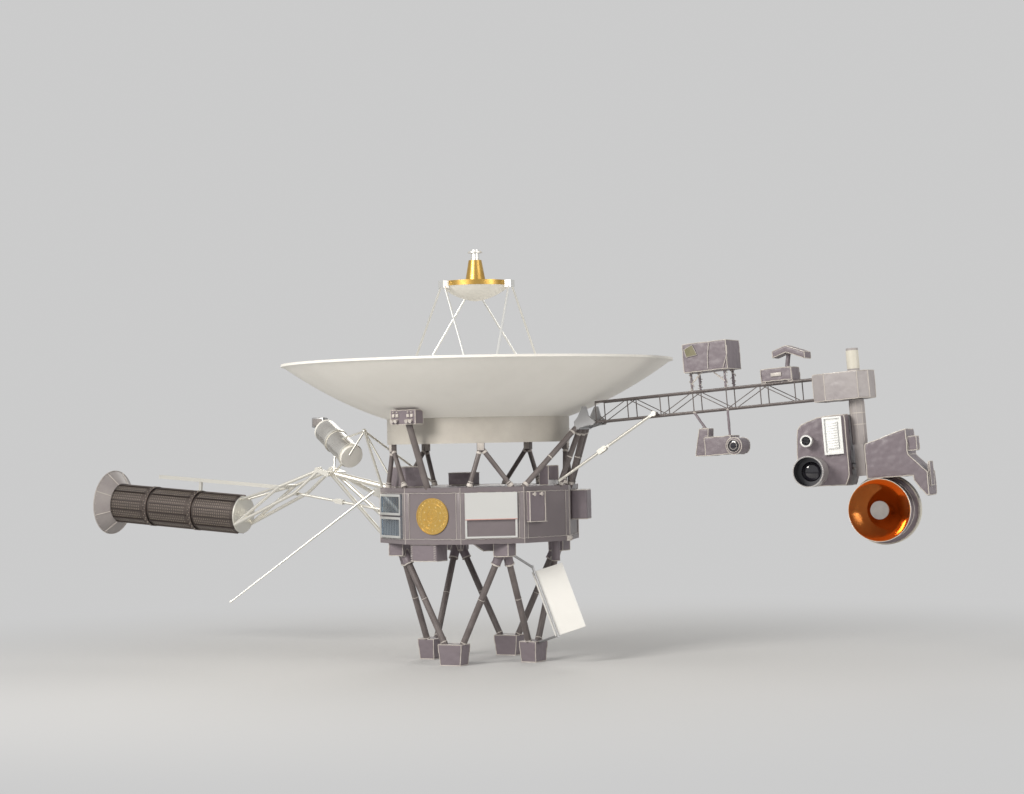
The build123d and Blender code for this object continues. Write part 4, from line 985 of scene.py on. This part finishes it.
    def box_trim(self) -> None:
        """Bright outline, latches and foot line of the box beside the white plate, and a corner fitting."""
        face, front = self.face(72), -self.box_out - 3
        left, right, low, high = self.box
        corners = ((left, low), (right, low), (right, high), (left, high), (left, low))
        outline = [face.mm(x, front, z) for x, z in corners]
        foot = [face.mm(left - 4, front, low), face.mm(right + 18, front, low)]
        trim = [Bench.wire([outline, foot], 3.2)]
        for x in (left + 34, right - 74):
            trim.append(Bench.slab(face, (x, front - 10, high - 34), (x + 40, front + 4, high - 14), 3.0))
            trim.append(Bench.slab(face, (x + 12, front - 15, high - 42), (x + 28, front - 8, high - 6), 2.0))
        corner = bay(90, self.flats / 2 + 40, self.bay_floor - 20)
        trim.append(Bench.slab(corner, (-34, -18, -22), (30, 18, 26), 4.0))
        trim.append(Bench.slab(corner, (-26, -30, -8), (-2, -16, 14), 3.0))
        trim += Bench.studs([(corner.mm(14, -18, z), -corner.y) for z in (10, -10)], 7.0, 12.0)
        Bench.piece("bay_box_trim", "probe", "white_plate", SEAM_PALE, *trim)

    def stitches(self) -> None:
        """Short stitches up the edges of the box under the body."""
        probe, front = bay(0, 0, 0), self.under_box_front
        heights = [self.bay_floor - 54 - 16 * n for n in range(9)]
        runs = [[probe.mm(x, front, z), probe.mm(x + 24, front, z - 5)]
                for z in heights for x in self.under_box]
        Bench.piece("under_box_stitches", "probe", "white_plate", SEAM_PALE, Bench.wire(runs, 1.8))


@dataclass
class Trusses:
    """Tape bands and bright end fittings on the wrapped struts, in millimetres."""

    frames: Frames
    upper_angles: tuple = (30.0, 102.0, 174.0, 246.0, 318.0)
    upper_node: tuple = (840.0, 1995.0)
    upper_foot: tuple = (868.0, 1600.0)
    upper_radius: float = 22.0
    deck: float = 1630.0
    lower_node: tuple = (778.0, 1120.0)
    foot_radius: float = 540.0
    foot_height: float = 195.0
    foot_spread: float = 88.0
    sole: tuple = (104.0, 76.0)
    lower_radius: float = 30.0
    sleeve: float = 215.0
    sleeve_radius: float = 43.0
    root_struts: tuple = ((54.0, -100.0), (84.0, -40.0), (100.0, 40.0), (129.0, 100.0))
    root_foot: tuple = (880.0, 1600.0)
    root_radius: float = 25.0
    nozzle_places: tuple = (-104.0, -62.0, 62.0, 104.0)

    def build(self) -> None:
        """Make the bands, the nozzles and the lines around the feet's soles."""
        self.upper()
        self.nozzles()
        self.lower()
        self.soles()

    @staticmethod
    def rings(start: Vector, end: Vector, *places: tuple) -> list:
        """Bands around a strut.

        Args:
            start: The strut's lower end.
            end: The strut's upper end.
            places: Each band's distance from the start, its radius and its width.

        Returns:
            The bands.
        """
        run = (end - start).normalized() * MM
        return [Bench.band(start + run * away, start + run * (away + width), radius, 2.6, 24)
                for away, radius, width in places]

    def upper(self) -> None:
        """Bands and fittings of the struts over the body."""
        bands, thick = [], self.upper_radius
        for angle in self.upper_angles:
            node = bay(angle, *self.upper_node).origin
            for side in (-1, 1):
                foot = bay(angle + 6 + 14 * side, *self.upper_foot).origin
                length = (node - foot).length / MM
                rise = self.upper_node[1] - self.upper_foot[1]
                start = length * (self.deck + 6 - self.upper_foot[1]) / rise
                bands += self.rings(foot, node, (start, thick + 4, 30), (start + 40, thick, 8),
                                    (length - 66, thick, 20))
            block = bay(angle, self.upper_node[0], self.upper_node[1] + 35)
            bands.append(Bench.slab(block, (-31, -28, -66), (31, 28, -0.5), 3.0))
            places = [(block.mm(x, -27.5, z), -block.y) for x in (-18, 18) for z in (-50, -22)]
            bands += Bench.studs(places, 6.0, 6.0)
        beam, thick = self.frames.boom.mm(-170, 0, -16), self.root_radius
        for bearing, head_y in self.root_struts:
            foot = bay(bearing, *self.root_foot).origin
            head = Vector((beam.x, head_y * MM, beam.z))
            length = (head - foot).length / MM
            start = length * (self.deck + 8 - self.root_foot[1]) / (head.z / MM - self.root_foot[1])
            bands += self.rings(foot, head, (start, thick + 3, 26), (length * 0.5, thick, 10),
                                (length - 90, thick, 18))
        Bench.piece("upper_bands", "probe", "white_plate", SEAM_PALE, *bands)

    def nozzles(self) -> None:
        """Small nozzles and their valves on the thruster block."""
        block, shapes = bay(-8, 1070, 2270), []
        for x in self.nozzle_places:
            shapes.append(Bench.bar(block.mm(x, -56, -18), block.mm(x, -98, -34), 8, 18, 20))
            shapes.append(Bench.slab(block, (x - 14, -72, 4), (x + 14, -56, 34), 3.0))
        shapes += Bench.studs([(block.mm(x, -62, 50), -block.y) for x in self.nozzle_places], 8.0, 12.0)
        Bench.piece("thruster_nozzles", "probe", "frame_metal", SEAM_PALE, *shapes)

    def lower(self) -> None:
        """Bands at the sleeves' ends and where the struts enter the feet."""
        bands, thick = [], self.lower_radius
        for k in range(4):
            foot = bay(90 * k, self.foot_radius, 0)
            for side in (-1, 1):
                low = foot.mm(side * self.foot_spread, 0, self.foot_height - 20)
                high = bay(90 * k + 45 * side, *self.lower_node).origin
                length = (high - low).length / MM
                bands += self.rings(low, high, (length - self.sleeve - 7, self.sleeve_radius, 12),
                                    (34, thick, 9), (length * 0.45, thick, 5))
        Bench.piece("lower_bands", "probe", "white_plate", SEAM_PALE, *bands)

    def soles(self) -> None:
        """Bright line around the sole of each foot."""
        x, y = self.sole
        corners = [(-x, -y), (x, -y), (x, y), (-x, y), (-x, -y)]
        feet = [bay(90 * k, self.foot_radius, 0) for k in range(4)]
        wire = Bench.wire([[foot.mm(a, b, 5) for a, b in corners] for foot in feet], 3.6)
        Bench.piece("foot_rims", "probe", "white_plate", SEAM_PALE, wire)


@dataclass
class PowerBoom:
    """Dots, studs, lips and shield strips of the power cylinders, in millimetres."""

    frames: Frames
    axis_z: float = -510.0
    start: float = 940.0
    length: float = 500.0
    gap: float = 46.0
    radius: float = 184.0
    joint_radius: float = 197.0
    dot_rows: tuple = (-10.2, -7.6, -1.3, 1.3, 7.6, 10.2)
    dot_pitch: float = 23.0
    dot_count: int = 19
    shield: tuple = ((206.0, 2424.5), (265.5, 2481.5), (320.0, 2534.0))
    shield_rim: tuple = (322.0, 2537.0)
    shield_dots: tuple = (312.0, 2530.5)

    def axis(self, x: float) -> Axes:
        """Axes on the cylinders' own axis."""
        power = self.frames.power
        return Axes(power.mm(x, 0, self.axis_z), power.x, power.y, power.z)

    def spoke(self, x: float, radius: float, degrees: float) -> tuple:
        """Point and outward direction at a turn about the cylinders' axis.

        Args:
            x: Distance along the boom.
            radius: Distance from the cylinders' axis.
            degrees: Angle about that axis.

        Returns:
            The point and the direction.
        """
        hub, turn = self.axis(x), math.radians(degrees)
        out = hub.y * math.cos(turn) + hub.z * math.sin(turn)
        return hub.origin + out * radius * MM, out

    def lip(self, x: float, width: float, radius: float, wall: float) -> Shape:
        """Ring around the cylinders' axis."""
        return Bench.band(self.axis(x).origin, self.axis(x + width).origin, radius, wall, 48)

    def build(self) -> None:
        """Make every piece of the power boom's cylinders."""
        self.dots()
        self.joints()
        self.strips()

    def dots(self) -> None:
        """Rows of small light dots between the fins of each cylinder."""
        hub, dots = self.axis(0), []
        for k in range(3):
            place, out = self.spoke(self.start + k * (self.length + self.gap) + 50, self.radius - 0.5, 0)
            row = Bench.stud(3.4, 2.4, 6)
            row.matrix_world = aimed(place, out)
            Bench.modify(Bench.settle(row), ARRAY={
                "use_relative_offset": False, "use_constant_offset": True,
                "constant_offset_displace": hub.x * self.dot_pitch * MM, "count": self.dot_count})
            turns = [Matrix.Rotation(math.radians(30 * j + offset), 4, hub.x)
                     for j in range(12) for offset in self.dot_rows]
            there, back = Matrix.Translation(hub.origin), Matrix.Translation(-hub.origin)
            dots += Bench.scatter(row, [there @ turn @ back for turn in turns])
        Bench.piece("cylinder_dots", "power_boom", "white_plate", DOT_TAN, *dots)

    def joints(self) -> None:
        """Studs and rims of the joint rings, the studs light tan as painted glints on the dark ring, and a
        lip at each cylinder's end.
        """
        studs, lips = [], []
        for k in range(2):
            middle = self.start + (k + 1) * self.length + k * self.gap + self.gap / 2
            places = [self.spoke(middle + side * 8, self.joint_radius - 0.5, 15 * n + 4 * side)
                      for n in range(24) for side in (-1, 1)]
            studs += Bench.studs(places, 4.2, 4.0)
            lips += [self.lip(middle + side * 19 - 4, 8, self.joint_radius, 3.0) for side in (-1, 1)]
        for k in range(3):
            low = self.start + k * (self.length + self.gap)
            lips += [self.lip(x, 6, self.radius, 2.4) for x in (low + 24, low + self.length - 30)]
        # the studs are real bumps on the ring; their light tan colour is painted glint on the dark ring
        Bench.piece("joint_glint_studs", "power_boom", "white_plate", DOT_TAN, *studs)
        Bench.piece("cylinder_lips", "power_boom", "power_dark", POWER_LIP, *lips)

    def strips(self) -> None:
        """Light strips down the end shield, its bright rim and the dots beside it."""
        runs = [[self.spoke(x, radius, 45 * (k + 0.5))[0] for radius, x in self.shield] for k in range(8)]
        radius, x = self.shield_rim
        rim = [self.spoke(x, radius, 5 * n)[0] for n in range(73)]
        shapes = [Bench.wire(runs, 4.0), Bench.wire([rim], 3.2)]
        radius, x = self.shield_dots
        places = [(self.spoke(x, radius, 15 * n)[0], -self.frames.power.x) for n in range(24)]
        Bench.piece("shield_strips", "power_boom", "white_plate", SEAM_PALE,
                    *shapes, *Bench.studs(places, 4.0, 5.0))


@dataclass
class Canister:
    """Foil and end box of the stowed mast, and the whip's collars, in millimetres."""

    foot: tuple = (-1384.0, -20.0, 1918.0)
    top: tuple = (-1857.0, 250.0, 2187.0)
    radius: float = 114.0
    foil_shares: tuple = ((0.105, 0.555), (0.625, 0.96))
    end_box: tuple = (-1945.0, 296.0, 2262.0)
    end_box_half: tuple = (66.0, 46.0, 48.0)
    panel_margin: float = 11.0
    whip: tuple = ((-800.0, -545.0, 1612.0), (-2005.0, -1212.0, 591.0))

    def build(self) -> None:
        """Make the canister's foil, the box at its end and the whip's collars."""
        foot, top, half = Vector(self.foot) * MM, Vector(self.top) * MM, self.end_box_half
        foil = [Bench.band(foot.lerp(top, low), foot.lerp(top, high), self.radius, 1.2, 48)
                for low, high in self.foil_shares]
        Bench.piece("canister_foil", "probe", "white_plate", FOIL, *foil)
        box = Axes(Vector(self.end_box) * MM, Vector((1, 0, 0)), Vector((0, 1, 0)), UP)
        carrier = [Bench.slab(box, [-h for h in half], half, 5.0)]
        run = (top - foot).normalized()
        aside = run.orthogonal().normalized()
        for n in range(4):
            out = Matrix.Rotation(math.radians(90 * n + 45), 3, run) @ aside
            corner = (math.copysign(half[0] - 12, out.x), math.copysign(half[1] - 10, out.y), 12 - half[2])
            start = top - run * 0.012 + out * 0.088
            carrier.append(Bench.bar(start, box.mm(*corner), 7.5, 6.5, 14))
            carrier.append(Bench.dome(start, run, 20, 18))
        Bench.piece("mast_end_box", "probe", "frame_metal", FRAME_METAL, *carrier)
        panels = []
        for axis, side in ((0, -1), (1, -1), (1, 1), (2, -1), (2, 1)):
            low, high = [self.panel_margin - h for h in half], [h - self.panel_margin for h in half]
            low[axis], high[axis] = sorted((side * (half[axis] - 1), side * (half[axis] + 2)))
            panels.append(Bench.slab(box, low, high))
        Bench.piece("end_box_panels", "probe", "lens_black", CAP_GREY, *panels)
        root, tip = (Vector(point) * MM for point in self.whip)
        run = (tip - root).normalized()
        Bench.piece("whip_tip", "probe", "cream_tube", CREAM_TUBE,
                    Bench.band(tip - run * 0.034, tip - run * 0.002, 7.2, 2.4, 16),
                    Bench.band(root + run * 0.06, root + run * 0.10, 12.2, 3.0, 16))


@dataclass
class ScanPlatform:
    """Lenses, mirror rim, drum bands and tube dress of the scan platform, in millimetres."""

    frames: Frames
    wide_lens: tuple = (-385.0, -20.0)
    wide_mouth: float = -420.0
    wide_radius: float = 132.0
    wide_throat: float = -282.0
    wide_bore: float = 124.0
    narrow_lens: tuple = (-410.0, 245.0)
    narrow_mouth: float = -280.0
    narrow_radius: float = 50.0
    narrow_throat: float = -226.0
    narrow_bore: float = 42.0
    grid_radius: float = 37.5
    grid_pitch: float = 13.0
    scope: tuple = (172.0, -393.0)
    scope_mouth: float = -300.0
    scope_radius: float = 266.0
    drum_bands: tuple = ((-45.0, -15.0, 298.0), (5.0, 65.0, 298.0), (92.0, 176.0, 253.0))
    radiator: tuple = (-233.0, -141.0, 166.0, 386.0)
    tube_x: float = 2467.0
    strip_radius: float = 65.5

    def build(self) -> None:
        """Make every piece of the platform."""
        self.lenses()
        self.telescope()
        self.ribs()
        self.tube()

    def ring(self, place: tuple, near: float, far: float, radius: float, wall: float, sides: int) -> Shape:
        """Band around an axis that looks out of the platform's front."""
        platform, (x, z) = self.frames.platform, place
        return Bench.band(platform.mm(x, near, z), platform.mm(x, far, z), radius, wall, sides)

    def lenses(self) -> None:
        """Glass in both barrels, the bright rims and the grid in the small one."""
        platform = self.frames.platform
        wide, narrow, mouth, radius = self.wide_lens, self.narrow_lens, self.narrow_mouth, self.narrow_radius
        glass = [Bench.dome(platform.mm(place[0], throat - 1, place[1]), -platform.y, size, height)
                 for place, throat, size, height in ((wide, self.wide_throat, 86, 24),
                                                     (narrow, self.narrow_throat, 33, 8))]
        rims = [self.ring(wide, self.wide_mouth, self.wide_mouth + 9, self.wide_radius, 2.0, 64),
                self.ring(narrow, mouth, mouth + 44, radius, 3.0, 48),
                self.ring(narrow, mouth - 1, mouth + 7, radius - 12, 11.5, 48)]
        Bench.piece("lens_glass", "scan_platform", "lens_black", LENS_GLASS, *glass)
        Bench.piece("lens_rims", "scan_platform", "white_plate", WHITE_PLATE, *rims)
        liners = []
        for place, front, throat, bore in ((wide, self.wide_mouth, self.wide_throat, self.wide_bore),
                                           (narrow, mouth, self.narrow_throat, self.narrow_bore)):
            liners.append(self.ring(place, front + 3, throat - 0.5, bore - 3, 2.7, 64))
            liners.append(self.ring(place, throat - 3, throat - 0.5, bore * 0.66, bore * 0.32, 64))
        runs, (x, z) = [], narrow
        for n in range(-2, 3):
            step = self.grid_pitch * n
            reach = math.sqrt(self.grid_radius ** 2 - step ** 2)
            runs.append([platform.mm(x + step, mouth + 6, z + s * reach) for s in (-1, 1)])
            runs.append([platform.mm(x + s * reach, mouth + 6, z + step) for s in (-1, 1)])
        Bench.piece("lens_liners", "scan_platform", "lens_black", LENS_BLACK, *liners, Bench.wire(runs, 2.2))

    def telescope(self) -> None:
        """Bright rim of the mirror and the cream bands around the drum behind it."""
        mouth = self.scope_mouth
        rim = self.ring(self.scope, mouth - 0.5, mouth + 7, self.scope_radius - 2, 4.0, 96)
        Bench.piece("mirror_rim", "scan_platform", "white_plate", WHITE_PLATE, rim)
        bands = [self.ring(self.scope, start, end, radius, 2.5, 96) for start, end, radius in self.drum_bands]
        Bench.piece("drum_bands", "scan_platform", "white_plate", DRUM_CREAM, *bands)

    def ribs(self) -> None:
        """Ribs across the plate that cools the cameras."""
        left, right, low, high = self.radiator
        heights = [low + (high - low - 9) * n / 10 for n in range(11)]
        ribs = [Bench.slab(self.frames.platform, (left, -214, z), (right, -209, z + 9), 1.2) for z in heights]
        Bench.piece("radiator_ribs", "scan_platform", "white_plate", WHITE_PLATE, *ribs)

    def tube(self) -> None:
        """Cream sleeve on the drive tube's top, and on its lower part light strips, which are painted
        highlights, and rings.
        """
        boom, middle = self.frames.boom, self.tube_x
        sleeve = Bench.band(boom.mm(middle, 0, 236), boom.mm(middle, 0, 396), 52.2, 2.0, 48)
        Bench.piece("tube_sleeve", "gimbal", "white_plate", DRUM_CREAM, sleeve)
        # light strips up the lower tube: painted highlights along its rounded side
        runs = []
        for n in range(8):
            angle = math.radians(45 * n + 12)
            x, y = middle + self.strip_radius * math.cos(angle), self.strip_radius * math.sin(angle)
            runs.append([boom.mm(x, y, -395), boom.mm(x, y, -50)])
        strips = [Bench.wire(runs, 2.0)]
        for low in (-250, -150):
            strips.append(Bench.band(boom.mm(middle, 0, low), boom.mm(middle, 0, low + 8), 65.2, 2.0, 48))
        Bench.piece("tube_highlight_strips_and_rings", "gimbal", "white_plate", SEAM_PALE, *strips)


@dataclass
class BoomInstruments:
    """Windows, seams, cable knots and small plates of the boom's instruments, in millimetres."""

    frames: Frames
    seed: int = 5
    front: float = -171.0
    window: tuple = ((972, 556), (1052, 590), (1092, 498), (990, 486))
    seam: tuple = ((1186, -173, 366), (1192, -174, 480), (1212, -173, 594))
    side_seam: tuple = ((1330, -172, 364), (1378, -173, 482), (1380, -172, 556))
    posts: tuple = (1654, 1936)
    port: tuple = (1380, -335)
    legs: tuple = (986.0, 1308.0)
    leg_y: float = 95.0
    leg_heights: tuple = (190.0, 352.0)
    lead_reach: float = 120.0

    def build(self) -> None:
        """Make every piece of the instruments."""
        boom, (x, z) = self.frames.boom, self.port
        pane = Bench.tablet([boom.mm(a, self.front, b) for a, b in self.window], -boom.y, 4.0)
        Bench.piece("upper_window", "science_boom", "lens_black", OLIVE_PANE, pane)
        outline = [boom.mm(a, self.front - 5, b) for a, b in (*self.window, self.window[0])]
        seams = [[boom.mm(*point) for point in seam] for seam in (self.seam, self.side_seam)]
        posts = [[boom.mm(a, -116, 204), boom.mm(a, -116, 308)] for a in self.posts]
        Bench.piece("instrument_edges", "science_boom", "white_plate", SEAM_PALE,
                    Bench.wire([outline, *seams, *posts], 3.4),
                    Bench.slab(boom, (1748, -122, 238), (1846, -112, 270), 3.0),
                    Bench.band(boom.mm(x, -216, z), boom.mm(x, -200, z), 54.0, 4.0, 40),
                    Bench.band(boom.mm(x, -216, z), boom.mm(x, -204, z), 30.0, 3.0, 32))
        Bench.piece("lower_glass", "science_boom", "lens_black", LENS_GLASS,
                    Bench.dome(boom.mm(x, -207, z), -boom.y, 50, 8))
        self.knots()

    def knots(self) -> None:
        """Tied cable knots along the instruments' legs, and the lead that crosses each of them."""
        draw = random.Random(self.seed)
        boom, edge, (low, high) = self.frames.boom, -self.leg_y - 8, self.leg_heights
        leads = tuple(zip(self.legs, (self.lead_reach, -self.lead_reach)))
        places, turns, runs = [], [], []
        for x in self.legs:
            for y in (-self.leg_y, self.leg_y):
                for n in range(15):
                    angle = draw.uniform(0, 2 * math.pi)
                    spread = draw.uniform(13, 22)
                    places.append((x + spread * math.cos(angle), y + spread * math.sin(angle),
                                   low + (high - low) * n / 14))
        for n in range(14):
            share = n / 13
            for x, toward in leads:
                places.append((x + toward * share, edge + draw.uniform(-8, 8),
                               250 + 100 * share + draw.uniform(-7, 7)))
        for place in places:
            turn = Matrix.Rotation(draw.uniform(0, 3), 4, "X") @ Matrix.Rotation(draw.uniform(0, 3), 4, "Z")
            size = Matrix.Scale(draw.uniform(0.75, 1.25), 4)
            turns.append(Matrix.Translation(boom.mm(*place)) @ turn @ size)
        knots = Bench.scatter(Bench.knot(8.0), turns)
        for x, toward in leads:
            runs.append([boom.mm(x, edge, 246), boom.mm(x + toward * 0.5, edge - 4, 296),
                         boom.mm(x + toward, edge, 356)])
        Bench.piece("cable_knots", "science_boom", "white_plate", SEAM_PALE, *knots, Bench.wire(runs, 5.0))


@dataclass
class DishTrim:
    """Rivets of the dish's support ring and bolts around the small antenna's plate, in millimetres."""

    ring_radius: float = 854.0
    ring_floor: float = 2030.0
    rivet_rows: tuple = (20.0, 118.0)
    bolt_radius: float = 58.0
    plate_top: float = 3821.5

    def build(self) -> None:
        """Make the rivets and the bolts."""
        posts = [bay(5 * n + 2.5, self.ring_radius, self.ring_floor) for n in range(72)]
        places = [(post.mm(0, 0.5, z), -post.y) for post in posts for z in self.rivet_rows]
        Bench.piece("ring_rivets", "probe", "cream_ring", RING_CREAM, *Bench.studs(places, 4.0, 3.0))
        places = [(bay(30 * n, self.bolt_radius, self.plate_top).origin, UP) for n in range(12)]
        Bench.piece("crown_bolts", "probe", "gold_metal", GOLD_PALE, *Bench.studs(places, 5.0, 5.0))


@dataclass
class Stage:
    """Floor, soft light and the camera of the photograph, in metres, watts and pixels."""

    azimuth: float = math.radians(28.7)
    distance: float = 21.7
    eye_height: float = 2.03
    focal_pixels: float = 2313.0
    roll: float = math.radians(1.1)
    axis_pixel: tuple = (478.5, 443.0)
    image: tuple = (1024, 794)
    sensor_mm: float = 36.0
    floor_radius: float = 70.0
    backdrop: tuple = (0.60, 0.60, 0.60, 1)
    world_level: float = 0.42
    world_tint: tuple = (1.0, 0.99, 0.97, 1)
    lamp_tint: tuple = (1.0, 0.965, 0.91)
    lamp_aim: tuple = (0, 0, 1.9)
    lamps: tuple = (
        ("key_light", -12.0, 9.0, 15.0, 2150.0, 6.0),
        ("fill_light", 78.0, 6.0, 15.0, 620.0, 7.0),
        ("back_light", 200.0, 9.0, 14.0, 500.0, 6.0),
    )

    def build(self) -> None:
        """Set the whole stage."""
        self.camera()
        self.floor()
        self.lights()
        self.world()
        bpy.context.scene.view_settings.view_transform = "Standard"

    def camera(self) -> None:
        """Stand the camera where the photograph was taken."""
        toward = Vector((-math.sin(self.azimuth), math.cos(self.azimuth), 0))
        right = Vector((math.cos(self.azimuth), math.sin(self.azimuth), 0))
        across = self.axis_pixel[0] - self.image[0] / 2
        down = self.axis_pixel[1] - self.image[1] / 2
        flat_x = across * math.cos(self.roll) - down * math.sin(self.roll)
        flat_y = across * math.sin(self.roll) + down * math.cos(self.roll)
        yaw = math.atan2(-flat_x, self.focal_pixels)
        pitch = math.atan2(flat_y, self.focal_pixels)
        look = toward * math.cos(yaw) + right * math.sin(yaw)
        side = right * math.cos(yaw) - toward * math.sin(yaw)
        aim = look * math.cos(pitch) + UP * math.sin(pitch)
        head = UP * math.cos(pitch) - look * math.sin(pitch)
        tilted_side = side * math.cos(self.roll) - head * math.sin(self.roll)
        tilted_head = side * math.sin(self.roll) + head * math.cos(self.roll)
        data = bpy.data.cameras.new("photo_camera")
        data.sensor_width = self.sensor_mm
        data.lens = self.sensor_mm * self.focal_pixels / self.image[0]
        data.clip_end = 200.0
        camera = Bench.linked("photo_camera", data)
        turn = Matrix((tilted_side, tilted_head, -aim)).transposed().to_4x4()
        camera.matrix_world = Matrix.Translation(UP * self.eye_height - toward * self.distance) @ turn
        bpy.context.scene.camera = camera

    def floor(self) -> None:
        """Lay a pale floor that passes into the backdrop's tone far from the probe."""
        Bench.deselect()
        bpy.ops.mesh.primitive_circle_add(vertices=96, radius=self.floor_radius, fill_type="NGON")
        floor = Bench.join([bpy.context.active_object], "studio_floor")
        material = bpy.data.materials.new("studio_floor")
        material.use_nodes = True
        graph = Graph(material.node_tree)
        shader, end = graph.tree.nodes["Principled BSDF"], graph.tree.nodes["Material Output"]
        shader.inputs["Base Color"].default_value = self.backdrop
        shader.inputs["Roughness"].default_value = 0.9
        place, path = graph.node("TexCoord"), graph.node("LightPath")
        away = graph.node("VectorMath", operation="LENGTH")
        share = graph.node("MapRange", {"From Min": 1.5, "From Max": 9.0}, interpolation_type="SMOOTHSTEP")
        seen = graph.node("Math", operation="MULTIPLY")
        glow = graph.node("Emission", {"Color": self.backdrop})
        mix = graph.node("MixShader")
        graph.link(
            (place, "Object", away, 0), (away, "Value", share, "Value"), (share, "Result", seen, 0),
            (path, "Is Camera Ray", seen, 1), (seen, 0, mix, "Fac"), (shader, "BSDF", mix, 1),
            (glow, "Emission", mix, 2), (mix, "Shader", end, "Surface"),
        )
        floor.data.materials.append(material)

    def lights(self) -> None:
        """Hang a large key to the left of the camera, a weak fill to its right and a light behind."""
        for name, azimuth, height, away, watts, size in self.lamps:
            data = bpy.data.lights.new(name, "AREA")
            data.energy = watts
            data.size = size
            data.color = self.lamp_tint
            angle = math.radians(azimuth)
            spot = Vector((away * math.sin(angle), -away * math.cos(angle), height))
            Bench.linked(name, data).matrix_world = aimed(spot, Vector(self.lamp_aim) - spot, "-Z")

    def world(self) -> None:
        """Soft light from all round, and the backdrop's tone where the camera sees past the floor."""
        world = bpy.data.worlds.new("studio_world")
        world.use_nodes = True
        graph = Graph(world.node_tree)
        ground, end = graph.tree.nodes["Background"], graph.tree.nodes["World Output"]
        ground.inputs["Color"].default_value = self.world_tint
        ground.inputs["Strength"].default_value = self.world_level
        path = graph.node("LightPath")
        seen = graph.node("Background", {"Color": self.backdrop, "Strength": 1.0})
        first, either = (graph.node("Math", operation="MAXIMUM") for _ in range(2))
        mix = graph.node("MixShader")
        graph.link(
            (path, "Is Camera Ray", first, 0), (path, "Is Glossy Ray", first, 1), (first, 0, either, 0),
            (path, "Is Transmission Ray", either, 1), (either, 0, mix, "Fac"), (ground, "Background", mix, 1),
            (seen, "Background", mix, 2), (mix, "Shader", end, "Surface"),
        )
        bpy.context.scene.world = world


WRAPPED = (
    (Blanket(0.012, 0.012, 0.007, 0.0045), ("camera_package", "spectrometer_package", "telescope_drum")),
    (Blanket(0.009, 0.006, 0.004), (
        "upper_instrument", "lower_instrument", "outer_instrument", "platform_sensors", "bay_boxes",
        "under_boxes", "deck_boxes", "strut_hoods", "feet", "thruster_cluster")),
    (Blanket(0.008, 0.006, 0.003, finish=PALE_BLANKET), ("gimbal_housing",)),
    (Blanket(0.014, 0.006, 0.003, 0.003), ("decks",)),
)


@dataclass
class Probe:
    """The whole probe, one sub-assembly after another."""

    frame: dict

    def dress_frame(self) -> None:
        """Give every CAD node the finish of its slot, or its own."""
        slots = {part["node"]: part["material_slot"] for part in self.frame["record"]["subparts"]}
        for name, node in self.frame["nodes"].items():
            Bench.dress(node, NODE_FINISH.get(name, SLOT_FINISH[slots[name]]))

    def blankets(self) -> None:
        """Wrap the boxes, hoods, feet and instrument packages."""
        groups = self.frame["record"]["behaviour"]["bodies"]
        bodies = {name: body for body, names in groups.items() for name in names}
        for blanket, names in WRAPPED:
            for name in names:
                blanket.wrap(name, bodies[name], self.frame["nodes"][name])

    def trim(self) -> None:
        """Make the seams, bands, marks and fittings of every sub-assembly."""
        frames = Frames.read(self.frame["joints"])
        for part in (Body(), Trusses(frames), PowerBoom(frames), Canister(), ScanPlatform(frames),
                     BoomInstruments(frames), DishTrim()):
            part.build()
            LOG.info("finished %s", type(part).__name__)


def main() -> None:
    """Build the probe around its frame, piece by piece."""
    logging.basicConfig(level=logging.INFO, format="%(name)s: %(message)s")
    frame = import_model()
    Stage().build()
    probe = Probe(frame)
    probe.dress_frame()
    probe.blankets()
    probe.trim()


if __name__ == "__main__":
    main()
